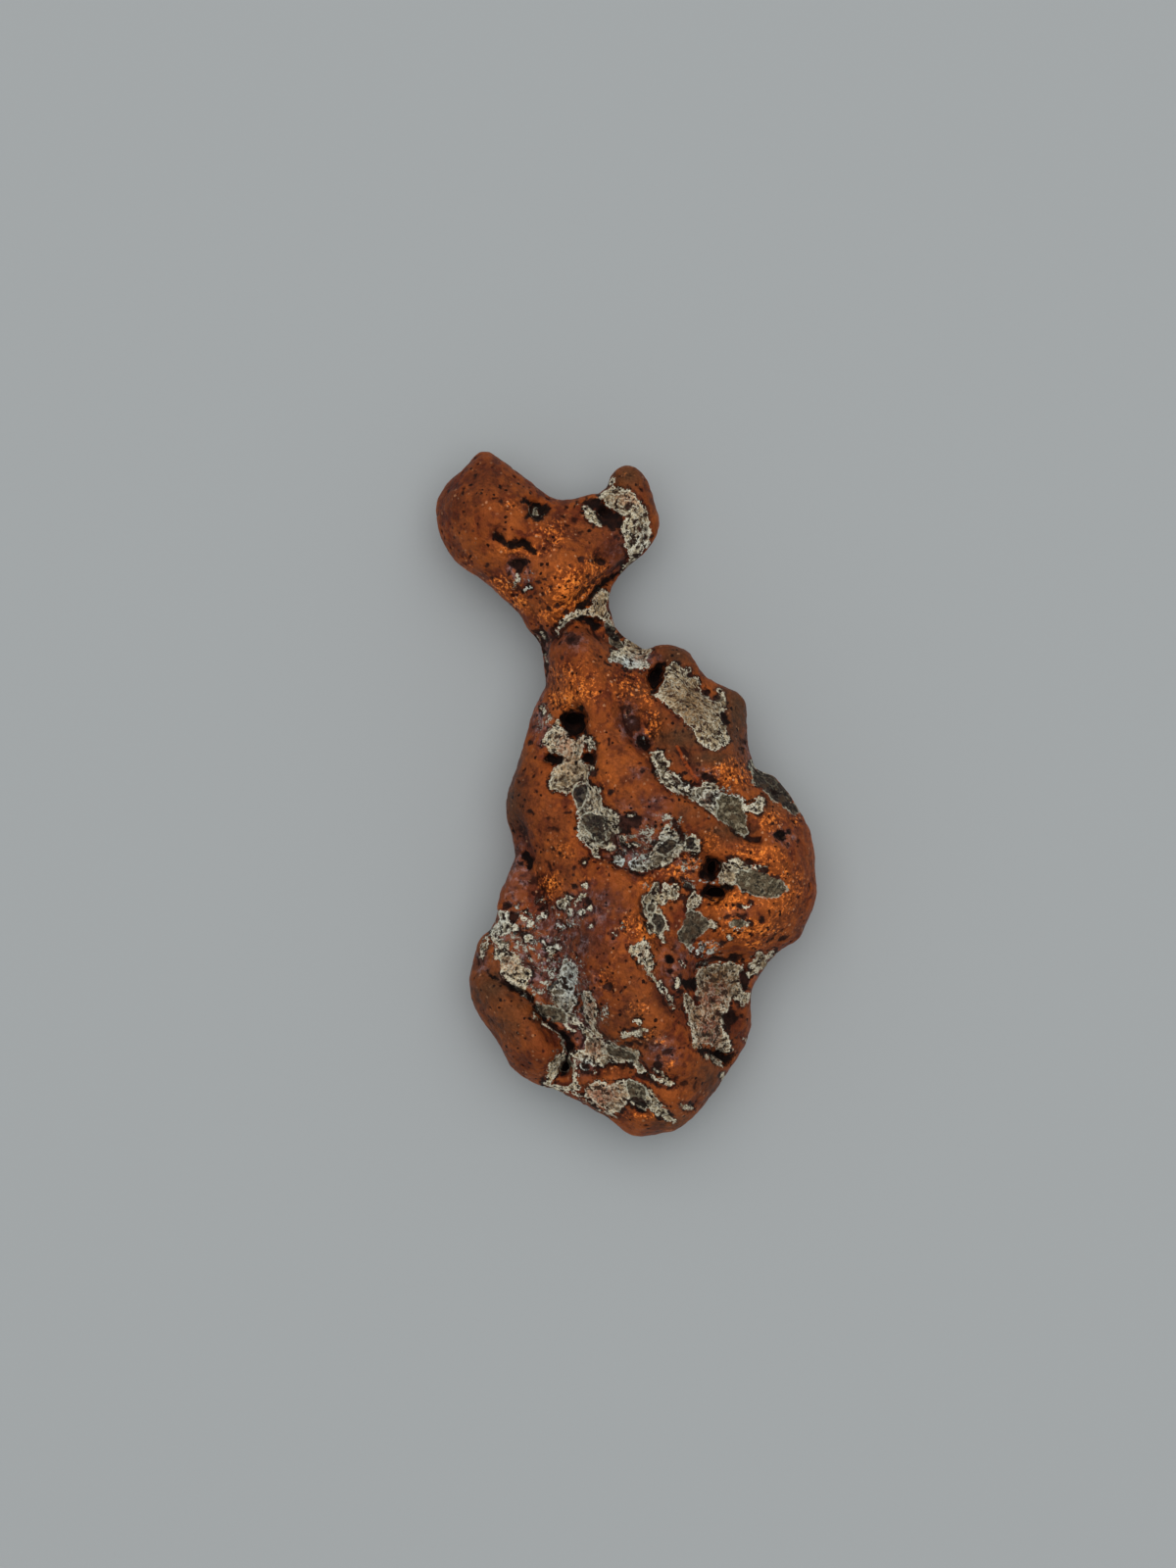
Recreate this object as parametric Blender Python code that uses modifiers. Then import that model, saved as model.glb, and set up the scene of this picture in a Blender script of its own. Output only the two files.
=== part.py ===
"""A native copper nugget, lying as it rests: a round head with a curled horn, a pinched neck and a broad lumpy
body. The metal and the mineral that fills its hollows grew together, so the nugget is one solid.

Metres, +Z up. The origin is under the middle of the nugget's box, on the surface that it rests on. The head
points along +Y. The tables below are in millimetres.
"""

import math

import bmesh
import bpy
import numpy as np
from mathutils import Matrix, Vector, noise

MM = 0.001
NAME = "native_copper_nugget"

# ---------------------------------------------------------------- driving dimensions, in millimetres
EDGE_RADIUS = 5.6  # how far in from the outline the rounded edge reaches
LEAST_RISE = 3.2  # the least height of the top above the rim, away from the edge
LEAST_FALL = 2.6  # the least depth of the underside below the rim
LOBE_DROP = 2.6  # how far a lobe falls away at its own half-length
LOBE_BLEND = 0.7  # how softly neighbouring lobes run together
SLAB_THICKNESS = 2.0
SLAB_VOXEL = 0.5
BODY_VOXEL = 0.42
FINE_VOXEL = 0.32
CUTTER_VOXEL = 0.2
SHRINKAGE = 0.13  # what the smoothing takes off the surface, which is added back
SWELLS = [(9.0, 0.55), (3.6, 0.22)]  # length and height of the uneven swells all over it
LEDGE_SOFTNESS = 0.35  # how far a ledge takes to step down
CRACK_WIDTH = 0.8  # at its mouth
CRACK_DEPTH = 2.4
CRACK_LEAN = 0.8  # how far the bottom of the crack lies under its inner lip
HOLE_TILT = 12  # degrees
TRIANGLES = 8800

# The outline seen from above, clockwise from the tip of the head.
OUTLINE = [
    (-14.3, 35.1), (-12.9, 34.4), (-10.4, 32.1), (-7.9, 30.2), (-6.4, 29.8), (-4.9, 30.2),
    (-3.6, 30.6), (-2.2, 30.8), (-1.7, 31.6), (-1.5, 32.7), (0.2, 33.7), (1.9, 33.0),
    (2.9, 31.2), (3.2, 29.5), (3.5, 27.9), (3.2, 26.5), (2.0, 24.7), (0.3, 23.3),
    (-1.1, 22.0), (-1.8, 20.5), (-1.6, 18.4), (-0.8, 16.4), (1.1, 15.2), (2.2, 14.3),
    (3.1, 14.9), (4.9, 15.0), (6.2, 14.5), (7.0, 12.9), (7.9, 11.6), (10.6, 10.6),
    (11.9, 9.8), (12.5, 6.8), (12.9, 4.2), (13.4, 2.4), (15.1, 1.8), (16.4, 0.3),
    (17.5, -1.8), (18.7, -3.6), (19.3, -6.2), (19.5, -9.0), (19.2, -12.2), (18.2, -14.4),
    (17.1, -15.4), (15.7, -16.0), (14.2, -17.5), (13.1, -19.2), (12.6, -21.2), (12.7, -24.0),
    (11.3, -27.0), (9.6, -30.2), (7.2, -33.2), (6.0, -34.3), (4.3, -34.8), (3.2, -34.8),
    (1.7, -35.3), (-0.2, -34.9), (-1.6, -33.8), (-4.1, -32.2), (-6.5, -30.5), (-8.7, -30.1),
    (-10.8, -29.1), (-12.6, -27.2), (-13.1, -25.3), (-14.9, -22.6), (-15.9, -19.5), (-15.5, -17.2),
    (-14.8, -15.1), (-13.5, -13.9), (-12.9, -11.2), (-11.7, -8.5), (-10.8, -6.6), (-11.0, -4.7),
    (-12.1, -2.4), (-11.9, 0.2), (-10.8, 4.0), (-9.3, 8.2), (-7.8, 11.0), (-8.1, 13.3),
    (-8.9, 15.4), (-9.8, 17.0), (-11.8, 19.5), (-13.9, 21.6), (-16.9, 23.6), (-18.7, 25.9),
    (-19.5, 28.5), (-19.0, 30.5), (-17.6, 32.2), (-16.1, 33.5), (-15.3, 34.7),
]

# Lobes of the top: name, middle x and y, half-length, half-width, turn of the length from +X in degrees,
# and height above the rest plane.
TOP_LOBES = [
    ("head", -12.5, 27.0, 9.0, 6.6, -50, 12.0),
    ("head_foot", -6.2, 21.6, 5.5, 4.8, -45, 12.6),
    ("horn_root", -2.0, 26.0, 4.0, 4.0, 0, 10.4),
    ("horn", 1.6, 29.6, 5.0, 2.6, -70, 10.4),
    ("neck", -5.2, 14.8, 4.2, 3.8, 90, 10.6),
    ("upper_ridge", -3.0, 8.6, 8.5, 4.4, -62, 14.0),
    ("left_flank", -9.0, 0.6, 9.0, 3.8, 90, 12.0),
    ("left_inner", -4.5, -4.0, 7.0, 3.6, 90, 12.8),
    ("centre_dome", 3.2, -0.6, 8.4, 4.8, -38, 16.0),
    ("shoulder", 7.4, 4.8, 9.0, 3.6, -50, 14.8),
    ("corner", 11.2, 8.0, 5.0, 2.6, 90, 10.2),
    ("right_lobe", 14.2, -7.0, 7.0, 5.0, -80, 14.0),
    ("right_heel", 11.5, -12.0, 6.5, 4.0, 15, 13.6),
    ("crown", -0.5, -9.5, 5.0, 4.2, 0, 14.6),
    ("long_ridge", 0.8, -18.0, 11.0, 4.8, -66, 15.4),
    ("flap", -11.6, -23.4, 7.2, 4.4, -50, 12.0),
    ("hollow", -9.4, -14.5, 6.0, 4.2, -65, 10.4),
    ("foot", 5.6, -29.4, 6.0, 4.8, 40, 13.0),
    ("foot_left", -2.8, -29.6, 6.0, 3.6, -15, 11.0),
    ("stone_shelf", 9.6, -22.0, 6.5, 3.4, 80, 11.2),
    ("knob", 4.8, 13.8, 2.0, 1.8, 0, 10.6),
]

# Lobes of the underside: the same, but the last figure is the height of the lobe's lowest point. One below
# zero is worn flat on the rest plane.
BELLY_LOBES = [
    ("head_belly", -11.6, 26.6, 7.5, 6.0, -50, -0.5),
    ("horn_belly", 0.6, 28.4, 5.0, 3.0, -70, 3.2),
    ("neck_belly", -5.2, 16.6, 6.0, 3.6, 90, 2.6),
    ("left_belly", -5.0, -1.0, 10.0, 5.4, 80, -0.9),
    ("right_belly", 8.0, -5.0, 9.5, 6.5, -50, -0.7),
    ("shoulder_belly", 6.5, 6.5, 6.0, 4.5, -50, 1.8),
    ("foot_belly", 3.0, -25.5, 8.0, 6.5, -60, -0.6),
    ("flap_belly", -10.5, -21.0, 6.0, 4.2, -50, 1.0),
]

# The height of the rim, the line round the nugget where the top meets the underside.
RIM_HEIGHTS = [
    (-14.0, 34.0, 6.4), (-19.0, 28.0, 5.6), (-9.0, 30.0, 6.2), (1.5, 32.5, 7.0), (3.0, 26.5, 6.4),
    (-9.5, 16.5, 6.0), (-1.5, 19.0, 6.8), (5.0, 14.8, 7.2), (12.0, 9.0, 5.8), (14.5, 2.0, 7.8),
    (19.2, -8.0, 6.6), (13.0, -18.0, 7.4), (12.5, -24.0, 5.6), (5.0, -34.0, 5.4), (-4.0, -32.0, 6.4),
    (-14.0, -24.0, 5.4), (-14.0, -14.0, 6.8), (-11.3, -6.0, 7.8), (-12.0, 0.0, 5.8), (-8.2, 12.0, 6.4),
]

# Grooves of the top: name, half-width, depth and course.
TOP_GROOVES = [
    ("diagonal", 1.1, 0.9, [(0.1, 8.2), (1.3, 6.2), (2.3, 4.6), (3.5, 2.6), (5.1, 0.9), (7.3, 0.1),
                            (9.6, -0.9), (11.3, -2.8), (12.3, -4.2)]),
    ("left_fold", 1.3, 0.9, [(-6.1, 8.2), (-5.3, 5.0), (-5.7, 1.8), (-4.7, -0.6), (-3.6, -3.6), (-1.7, -5.8),
                             (1.1, -7.3), (4.6, -7.2), (7.3, -6.9), (8.9, -8.2), (8.8, -10.4)]),
    ("left_notch", 1.0, 1.1, [(-11.1, -3.6), (-10.4, -6.0), (-9.6, -8.4), (-9.0, -11.0)]),
    ("lower_right", 1.1, 0.9, [(3.5, -9.2), (2.7, -11.6), (3.3, -14.5), (2.9, -17.5), (4.2, -20.2),
                               (6.0, -22.2)]),
    ("neck_crevice", 0.8, 1.3, [(-8.5, 15.4), (-6.5, 16.9), (-4.4, 17.7), (-2.8, 16.9), (-0.9, 15.8)]),
    ("head_edge", 0.8, 1.3, [(0.1, 23.0), (-1.5, 21.8), (-3.3, 20.4), (-4.9, 19.0), (-6.7, 17.3)]),
    ("flap_edge", 0.9, 0.8, [(-14.9, -17.6), (-12.9, -18.8), (-11.3, -19.8), (-9.9, -21.0), (-8.6, -22.6),
                             (-7.3, -24.2), (-6.3, -25.6), (-6.0, -27.0), (-6.7, -28.8)]),
    ("horn_inside", 0.6, 0.6, [(-1.3, 31.3), (0.6, 30.7), (1.8, 29.2), (2.3, 27.4), (1.9, 25.7)]),
    ("gash", 0.45, 0.8, [(5.1, 5.0), (6.1, 3.2), (7.3, 1.1)]),
    ("shelf_edge", 0.9, 0.8, [(2.1, 11.0), (3.9, 8.8), (5.9, 6.4), (7.7, 4.4)]),
    ("bottom_fold", 0.8, 0.7, [(-5.3, -26.0), (-2.7, -25.3), (0.1, -25.6), (2.5, -25.0)]),
    ("foot_crease", 0.8, 0.8, [(-4.3, -27.8), (0.1, -27.4), (3.7, -28.8), (6.7, -29.2)]),
]

# Pits of the top: name, middle x and y, radius and depth.
TOP_PITS = [
    ("deep_hole", -5.4, 7.4, 1.2, 1.8),
    ("left_pit", -7.7, 3.6, 0.8, 1.2),
    ("inner_pit", -3.7, 3.6, 0.8, 1.4),
    ("fold_pit", 1.7, 5.2, 0.6, 0.5),
    ("twin_hole_north", 8.7, -7.5, 0.9, 1.4),
    ("twin_hole_south", 9.1, -10.1, 0.8, 1.1),
    ("knob_pit", 2.9, 12.0, 0.9, 1.8),
    ("knob_slot", 3.8, 13.5, 0.6, 1.2),
    ("head_pit", -9.1, 29.0, 1.1, 1.1),
    ("head_slot_west", -12.9, 26.2, 0.7, 0.8),
    ("head_slot_east", -10.5, 25.5, 0.9, 0.9),
    ("grey_pit", -10.9, 23.3, 1.0, 0.9),
    ("head_dimple", -2.6, 23.8, 0.7, 0.8),
    ("horn_pit", -1.7, 29.0, 1.0, 1.1),
    ("right_pit", 15.7, -4.3, 0.6, 0.8),
    ("crack_hole", -6.0, -27.8, 0.8, 2.0),
    ("shelf_hole", 9.6, -26.6, 0.9, 1.5),
    ("shelf_nook", 10.9, -23.0, 0.8, 1.2),
    ("seam_pit", 4.5, -17.6, 0.7, 1.0),
    ("foot_pit", 1.6, -32.2, 0.7, 0.9),
]

# The crack along the inner edge of the flap, from its outer end.
CRACK = [(-14.6, -17.7), (-12.9, -18.8), (-11.3, -19.8), (-9.9, -21.0), (-8.6, -22.6), (-7.3, -24.2),
         (-6.3, -25.6), (-6.1, -27.4)]

# Deep holes of the top: name, middle x and y, half-length, half-width, turn of the length from +X in degrees,
# and depth.
TOP_HOLES = [
    ("deep_hole", -5.3, 7.5, 1.15, 0.75, 10, 2.6),
    ("twin_hole_north", 8.8, -7.5, 0.95, 0.65, 70, 2.4),
    ("twin_hole_south", 9.1, -10.1, 1.3, 0.6, 5, 2.1),
    ("knob_hole", 3.0, 12.0, 0.95, 0.55, 25, 2.2),
    ("crack_hole", -6.1, -27.9, 0.95, 0.6, 75, 2.4),
    ("seam_hole", 1.7, 5.1, 0.85, 0.45, -50, 1.5),
    ("left_hole", -7.7, 3.6, 0.75, 0.45, 35, 1.6),
    ("horn_hole", -2.2, 28.6, 1.0, 0.5, 40, 1.7),
    ("shelf_hole", 9.6, -26.6, 0.85, 0.55, -60, 1.8),
    ("neck_hole", -8.3, 14.2, 1.2, 0.45, 65, 1.6),
]

# Ledges of the top, where mineral fills a hollow a little below the metal: name, depth and edge.
TOP_LEDGES = [
    ("tan_shelf", 0.45, [(3.3, 10.4), (4.7, 13.0), (6.1, 12.4), (7.4, 11.6), (8.6, 10.5), (9.9, 10.4),
                         (10.3, 9.0), (9.9, 7.2), (10.6, 5.8), (9.9, 4.5), (8.3, 4.5), (6.9, 5.8), (5.5, 7.2),
                         (4.1, 8.8)]),
    ("left_patch", 0.40, [(-7.3, 7.4), (-6.5, 5.8), (-5.4, 5.3), (-3.9, 6.0), (-3.2, 4.8), (-4.1, 3.5),
                          (-3.5, 2.0), (-4.1, 0.8), (-5.9, 0.2), (-7.9, 1.0), (-7.1, 2.6), (-7.5, 4.0),
                          (-8.7, 5.0), (-8.3, 6.5)]),
    ("left_stone", 0.40, [(-4.9, 0.7), (-3.2, 0.8), (-2.5, -1.0), (-0.9, -2.5), (-0.7, -3.8), (-1.9, -5.2),
                          (-2.7, -6.8), (-3.9, -5.6), (-4.9, -4.0), (-5.1, -2.2)]),
    ("right_lens", 0.40, [(9.6, -8.5), (10.6, -7.2), (12.6, -7.0), (14.6, -7.8), (16.3, -9.3), (15.6, -10.3),
                          (13.1, -10.4), (11.3, -9.3), (10.1, -9.2)]),
    ("triangle", 0.40, [(5.8, -11.0), (6.9, -10.2), (7.9, -12.0), (9.3, -13.0), (7.9, -14.5), (6.1, -15.5),
                        (5.3, -14.5), (5.9, -12.8)]),
    ("lower_right_shelf", 0.55, [(6.3, -20.0), (6.6, -18.0), (8.3, -17.2), (11.1, -17.0), (12.6, -18.0),
                                 (12.3, -20.5), (10.6, -21.0), (9.9, -23.0), (10.6, -25.2), (9.6, -26.2),
                                 (7.9, -26.0), (6.7, -24.0), (6.1, -22.0)]),
    ("diagonal_strip", 0.30, [(2.5, 4.2), (3.7, 4.2), (4.4, 2.5), (6.1, 1.0), (7.9, 1.2), (9.6, 0.8),
                              (11.6, -1.0), (12.3, -4.0), (10.6, -3.0), (8.3, -1.2), (6.1, -0.2), (4.3, 0.5),
                              (3.1, 2.2)]),
    ("powder_hollow", 0.35, [(-13.4, -12.0), (-10.9, -12.0), (-7.9, -11.5), (-4.9, -9.5), (-3.5, -10.5),
                             (-4.7, -12.5), (-5.9, -16.5), (-4.7, -20.0), (-2.7, -24.0), (-3.9, -25.2),
                             (-6.9, -23.0), (-9.1, -20.2), (-11.9, -18.8), (-13.9, -16.5), (-14.2, -14.5)]),
    ("bottom_crust", 0.35, [(-8.1, -28.8), (-6.4, -27.0), (-3.9, -26.5), (0.1, -25.8), (1.6, -26.8),
                            (2.1, -29.0), (5.1, -29.5), (5.1, -30.0), (2.6, -30.2), (5.1, -33.0), (4.1, -33.5),
                            (1.1, -31.5), (-1.4, -32.5), (-4.4, -30.5), (-6.9, -29.8)]),
    ("horn_crust", 0.30, [(-4.9, 29.4), (-3.7, 29.0), (-2.6, 31.0), (0.1, 31.0), (1.6, 29.5), (2.3, 27.0),
                          (1.6, 25.0), (-0.3, 23.2), (-0.7, 25.0), (-0.3, 26.5), (-0.7, 28.0), (-2.4, 27.4),
                          (-3.9, 27.8)]),
    ("neck_crust", 0.25, [(-7.3, 16.5), (-5.9, 18.0), (-3.9, 19.8), (-2.7, 21.0), (-1.9, 20.6), (-1.7, 18.8),
                          (-0.9, 17.0), (-2.7, 17.6), (-4.3, 18.2), (-5.9, 17.0)]),
    ("nape_crust", 0.30, [(-1.9, 15.0), (-0.7, 16.2), (1.1, 15.2), (2.5, 14.2), (2.1, 12.8), (0.6, 12.8),
                          (-1.1, 13.6)]),
    ("small_triangle", 0.30, [(0.3, -16.0), (1.7, -15.0), (2.3, -16.8), (2.6, -18.2), (1.6, -17.5)]),
    ("pale_strip", 0.30, [(1.6, -11.5), (2.9, -9.5), (5.1, -9.5), (5.1, -10.5), (3.3, -11.0), (3.9, -13.5),
                          (3.6, -14.5), (2.3, -13.5)]),
    ("speckled", 0.25, [(0.1, -7.0), (2.1, -5.5), (4.1, -3.5), (5.6, -4.0), (7.6, -5.5), (7.3, -7.0),
                        (5.1, -7.0), (3.1, -8.0), (1.1, -7.8)]),
]

# The same for the underside.
BELLY_GROOVES = [
    ("belly_seam", 1.4, 1.2, [(-2.0, 10.0), (0.5, 5.0), (0.2, 0.0), (2.5, -6.0), (0.5, -12.0), (4.0, -17.0),
                              (9.0, -18.0)]),
    ("flap_seam", 1.1, 1.1, [(-12.5, -13.0), (-7.0, -15.5), (-4.5, -20.0), (-5.5, -26.0)]),
    ("head_seam", 1.0, 0.9, [(-7.0, 30.0), (-6.0, 26.0), (-6.5, 21.0), (-9.5, 19.5)]),
    ("shoulder_seam", 0.9, 0.8, [(3.0, 13.0), (5.0, 9.0), (10.0, 4.0), (13.0, 0.0)]),
]
BELLY_PITS = [
    ("belly_hole", 2.2, -14.5, 1.2, 1.8),
    ("foot_hollow", -2.5, -29.5, 1.3, 1.2),
    ("flap_pit", -12.0, -24.5, 0.9, 1.0),
    ("heel_pit", 13.5, -12.0, 1.1, 1.3),
    ("side_pit", -9.5, 5.5, 0.9, 1.0),
    ("neck_pit", -3.5, 14.0, 0.9, 1.0),
    ("head_hollow", -15.5, 24.0, 1.1, 1.0),
]
BELLY_LEDGES = [
    ("belly_shelf", 0.45, [(-1.5, 8.0), (2.5, 7.0), (3.5, 3.0), (1.5, -1.0), (-0.5, 0.5), (-1.0, 4.0)]),
    ("heel_shelf", 0.40, [(9.0, -13.0), (13.0, -14.5), (14.5, -11.5), (16.0, -9.0), (13.0, -9.5),
                          (10.5, -11.0)]),
    ("foot_shelf", 0.40, [(-6.0, -27.0), (-3.0, -22.0), (-1.0, -18.0), (-3.5, -16.5), (-6.5, -19.0),
                          (-8.5, -24.0)]),
    ("horn_shelf", 0.35, [(-3.5, 28.0), (-0.5, 29.5), (1.5, 27.0), (-0.5, 24.0), (-3.0, 24.5)]),
]

COPPER = {"base": (0.45, 0.16, 0.055, 1), "metallic": 0.85, "roughness": 0.48}


# ---------------------------------------------------------------- meshes and points
def new_object(name, mesh, collection):
    made = bpy.data.objects.new(name, mesh)
    collection.objects.link(made)
    return made


def evaluated_mesh(source):
    """The mesh of an object with its modifiers applied."""
    bpy.context.view_layer.update()
    graph = bpy.context.evaluated_depsgraph_get()
    return bpy.data.meshes.new_from_object(source.evaluated_get(graph))


def apply_modifiers(holder):
    mesh = evaluated_mesh(holder)
    holder.modifiers.clear()
    holder.data = mesh


def points_of(mesh):
    """The vertices of a mesh, in millimetres."""
    found = np.empty(len(mesh.vertices) * 3, np.float32)
    mesh.vertices.foreach_get("co", found)
    return found.reshape(-1, 3).astype(float) / MM


def normals_of(mesh):
    found = np.empty(len(mesh.vertices) * 3, np.float32)
    mesh.vertex_normals.foreach_get("vector", found)
    return found.reshape(-1, 3).astype(float)


def set_points(mesh, points):
    mesh.vertices.foreach_set("co", (points * MM).astype(np.float32).ravel())
    mesh.update()


def remesh(holder, voxel, smoothings):
    """Rebuilds the surface in even faces, and smooths it."""
    voxels = holder.modifiers.new("voxels", "REMESH")
    voxels.mode = "VOXEL"
    voxels.voxel_size = voxel * MM
    if smoothings:
        smooth = holder.modifiers.new("smooth", "SMOOTH")
        smooth.factor = 0.5
        smooth.iterations = smoothings
    apply_modifiers(holder)


# ---------------------------------------------------------------- the ways that the tables are measured
def distance_to_line(points, line):
    """The distance of each point from a line of points, seen from above."""
    line = np.array(line, float)
    nearest = np.full(len(points), np.inf)
    for start, end in zip(line[:-1], line[1:]):
        along = end - start
        share = np.clip((points[:, :2] - start) @ along / (along @ along), 0, 1)
        apart = np.linalg.norm(points[:, :2] - start - share[:, None] * along, axis=1)
        nearest = np.minimum(nearest, apart)
    return nearest


def depth_inside(points, edge):
    """How far each point lies inside a closed edge, seen from above. It is negative outside."""
    ring = np.array(list(edge) + [edge[0]], float)
    inside = np.zeros(len(points), bool)
    for (x0, y0), (x1, y1) in zip(ring[:-1], ring[1:]):
        spans = (y0 > points[:, 1]) != (y1 > points[:, 1])
        crossing = x0 + (points[:, 1] - y0) * (x1 - x0) / ((y1 - y0) or 1)
        inside ^= spans & (points[:, 0] < crossing)
    return np.where(inside, 1, -1) * distance_to_line(points, ring)


def lobe_field(points, lobes, way):
    """The height of a skin over lobes: the top's for way 1 and the underside's for way -1."""
    total = np.full(len(points), 1e-30)
    for _, x, y, half_length, half_width, turn, height in lobes:
        angle = math.radians(turn)
        east, north = points[:, 0] - x, points[:, 1] - y
        along = (east * math.cos(angle) + north * math.sin(angle)) / half_length
        across = (north * math.cos(angle) - east * math.sin(angle)) / half_width
        total += np.exp((way * height - LOBE_DROP * (along**2 + across**2)) / LOBE_BLEND)
    return way * LOBE_BLEND * np.log(total)


def rim_height(points):
    """The rim's height near each point, from the named heights round it."""
    knots = np.array(RIM_HEIGHTS)
    apart = np.linalg.norm(points[:, None, :2] - knots[None, :, :2], axis=2)
    weight = 1 / (apart**2 + 1)
    return (weight * knots[:, 2]).sum(1) / weight.sum(1)


def carving(points, grooves, pits, ledges):
    """How far the grooves, pits and ledges cut into the surface at each point."""
    taken = np.zeros(len(points))
    for _, half_width, depth, course in grooves:
        taken = np.maximum(taken, depth * np.exp(-((distance_to_line(points, course) / half_width) ** 2)))
    for _, depth, edge in ledges:
        taken += depth / 2 * (1 + np.tanh(2 * depth_inside(points, edge) / LEDGE_SOFTNESS))
    for _, x, y, radius, depth in pits:
        apart = np.linalg.norm(points[:, :2] - (x, y), axis=1)
        taken += depth * np.exp(-((apart / radius) ** 4))
    return taken


# ---------------------------------------------------------------- cutters
def surface_height(nugget, x, y):
    """The height of the nugget's top over a point of the rest plane, in millimetres."""
    hit, place, _, _ = nugget.ray_cast(Vector((x, y, 60)) * MM, Vector((0, 0, -1)))
    return place.z / MM if hit else 0.0


def add_crack(made, nugget):
    """Adds a leaning wedge along the crack, that narrows towards its ends."""
    sections = []
    last = len(CRACK) - 1
    for index, (x, y) in enumerate(CRACK):
        before, after = CRACK[max(index - 1, 0)], CRACK[min(index + 1, last)]
        across = Vector((before[1] - after[1], after[0] - before[0], 0)).normalized()
        open_share = 0.4 + 0.6 * math.sin(math.pi * (index + 0.5) / (last + 1))
        surface = Vector((x, y, surface_height(nugget, x, y)))
        mouth = across * (CRACK_WIDTH / 2 * open_share)
        floor = surface + across * CRACK_LEAN - Vector((0, 0, CRACK_DEPTH * open_share))
        above = surface + Vector((0, 0, 2))
        corners = [above + mouth * 2, above - mouth * 2, surface - mouth,
                   floor - mouth * 0.4, floor + mouth * 0.4, surface + mouth]
        sections.append([made.verts.new(corner * MM) for corner in corners])
    for near, far in zip(sections[:-1], sections[1:]):
        for index in range(6):
            following = (index + 1) % 6
            made.faces.new((near[index], near[following], far[following], far[index]))
    made.faces.new(sections[0])
    made.faces.new(sections[-1])


def add_hole(made, nugget, hole):
    """Adds a long egg that sinks into the metal at a hole."""
    _, x, y, half_length, half_width, turn, depth = hole
    place = Matrix.Translation(Vector((x, y, surface_height(nugget, x, y))) * MM)
    spin = Matrix.Rotation(math.radians(turn), 4, "Z") @ Matrix.Rotation(math.radians(HOLE_TILT), 4, "X")
    size = Matrix.Diagonal((half_length * MM, half_width * MM, depth * MM, 1))
    bmesh.ops.create_icosphere(made, subdivisions=3, radius=1, matrix=place @ spin @ size)


def cutter(nugget, collection):
    """One cutter of the crack and all the deep holes, run together in even faces."""
    made = bmesh.new()
    add_crack(made, nugget)
    for hole in TOP_HOLES:
        add_hole(made, nugget, hole)
    bmesh.ops.recalc_face_normals(made, faces=made.faces)
    mesh = bpy.data.meshes.new("cutter")
    made.to_mesh(mesh)
    made.free()
    tool = new_object("cutter", mesh, collection)
    tool.display_type = "WIRE"
    tool.hide_render = True
    remesh(tool, CUTTER_VOXEL, 1)
    return tool


def cut(nugget, tool):
    """Takes a cutter's shape out of the nugget."""
    boolean = nugget.modifiers.new("cut", "BOOLEAN")
    boolean.operation = "DIFFERENCE"
    boolean.solver = "EXACT"
    boolean.object = tool
    apply_modifiers(nugget)
    bpy.data.objects.remove(tool)


# ---------------------------------------------------------------- the steps of the nugget's making
def outline_slab(collection):
    """A flat slab with the nugget's outline."""
    curve = bpy.data.curves.new("outline", "CURVE")
    curve.dimensions = "2D"
    curve.fill_mode = "BOTH"
    curve.extrude = SLAB_THICKNESS / 2 * MM
    curve.resolution_u = 6
    spline = curve.splines.new("BEZIER")
    spline.bezier_points.add(len(OUTLINE) - 1)
    spline.use_cyclic_u = True
    for knot, (x, y) in zip(spline.bezier_points, OUTLINE):
        knot.co = (x * MM, y * MM, 0)
        knot.handle_left_type = knot.handle_right_type = "AUTO"
    drawn = new_object("outline", curve, collection)
    slab = new_object(NAME, evaluated_mesh(drawn), collection)
    bpy.data.objects.remove(drawn)
    weld = slab.modifiers.new("weld", "WELD")
    weld.merge_threshold = 0.01 * MM
    return slab


def inflate(nugget):
    """Raises the slab's two faces to the lobes, and rounds them down to the rim."""
    points = points_of(nugget.data)
    side = np.clip(points[:, 2] / (SLAB_THICKNESS / 2), -1, 1)
    inward = np.clip(np.abs(depth_inside(points, OUTLINE)) / EDGE_RADIUS, 0, 1)
    fullness = np.sqrt(1 - (1 - inward) ** 2)
    rim = rim_height(points)
    rise = np.maximum(lobe_field(points, TOP_LOBES, 1) - rim, LEAST_RISE)
    fall = np.maximum(rim - lobe_field(points, BELLY_LOBES, -1), LEAST_FALL)
    points[:, 2] = rim + side * (0.2 + fullness * np.where(side > 0, rise, fall))
    set_points(nugget.data, points)


def swells(points):
    """The uneven swells all over the nugget, as the height of each point on them."""
    height = np.zeros(len(points))
    for length, most in SWELLS:
        height += [most * noise.noise(Vector(point) / length) for point in points]
    return height


def carve(nugget):
    """Cuts the grooves, pits and ledges into each side, and adds the swells."""
    points, normals = points_of(nugget.data), normals_of(nugget.data)
    over = points[:, 2] - rim_height(points)
    upper = np.clip(over / 1.2 + 0.2, 0, 1)
    lower = np.clip(-over / 1.2 + 0.2, 0, 1)
    taken = upper * carving(points, TOP_GROOVES, TOP_PITS, TOP_LEDGES)
    taken += lower * carving(points, BELLY_GROOVES, BELLY_PITS, BELLY_LEDGES)
    set_points(nugget.data, points + normals * (SHRINKAGE + swells(points) - taken)[:, None])


def thin(nugget):
    """Joins faces where the surface is plain, until the nugget is light enough."""
    decimate = nugget.modifiers.new("thin", "DECIMATE")
    decimate.ratio = TRIANGLES / (2 * len(nugget.data.polygons))
    apply_modifiers(nugget)


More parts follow.
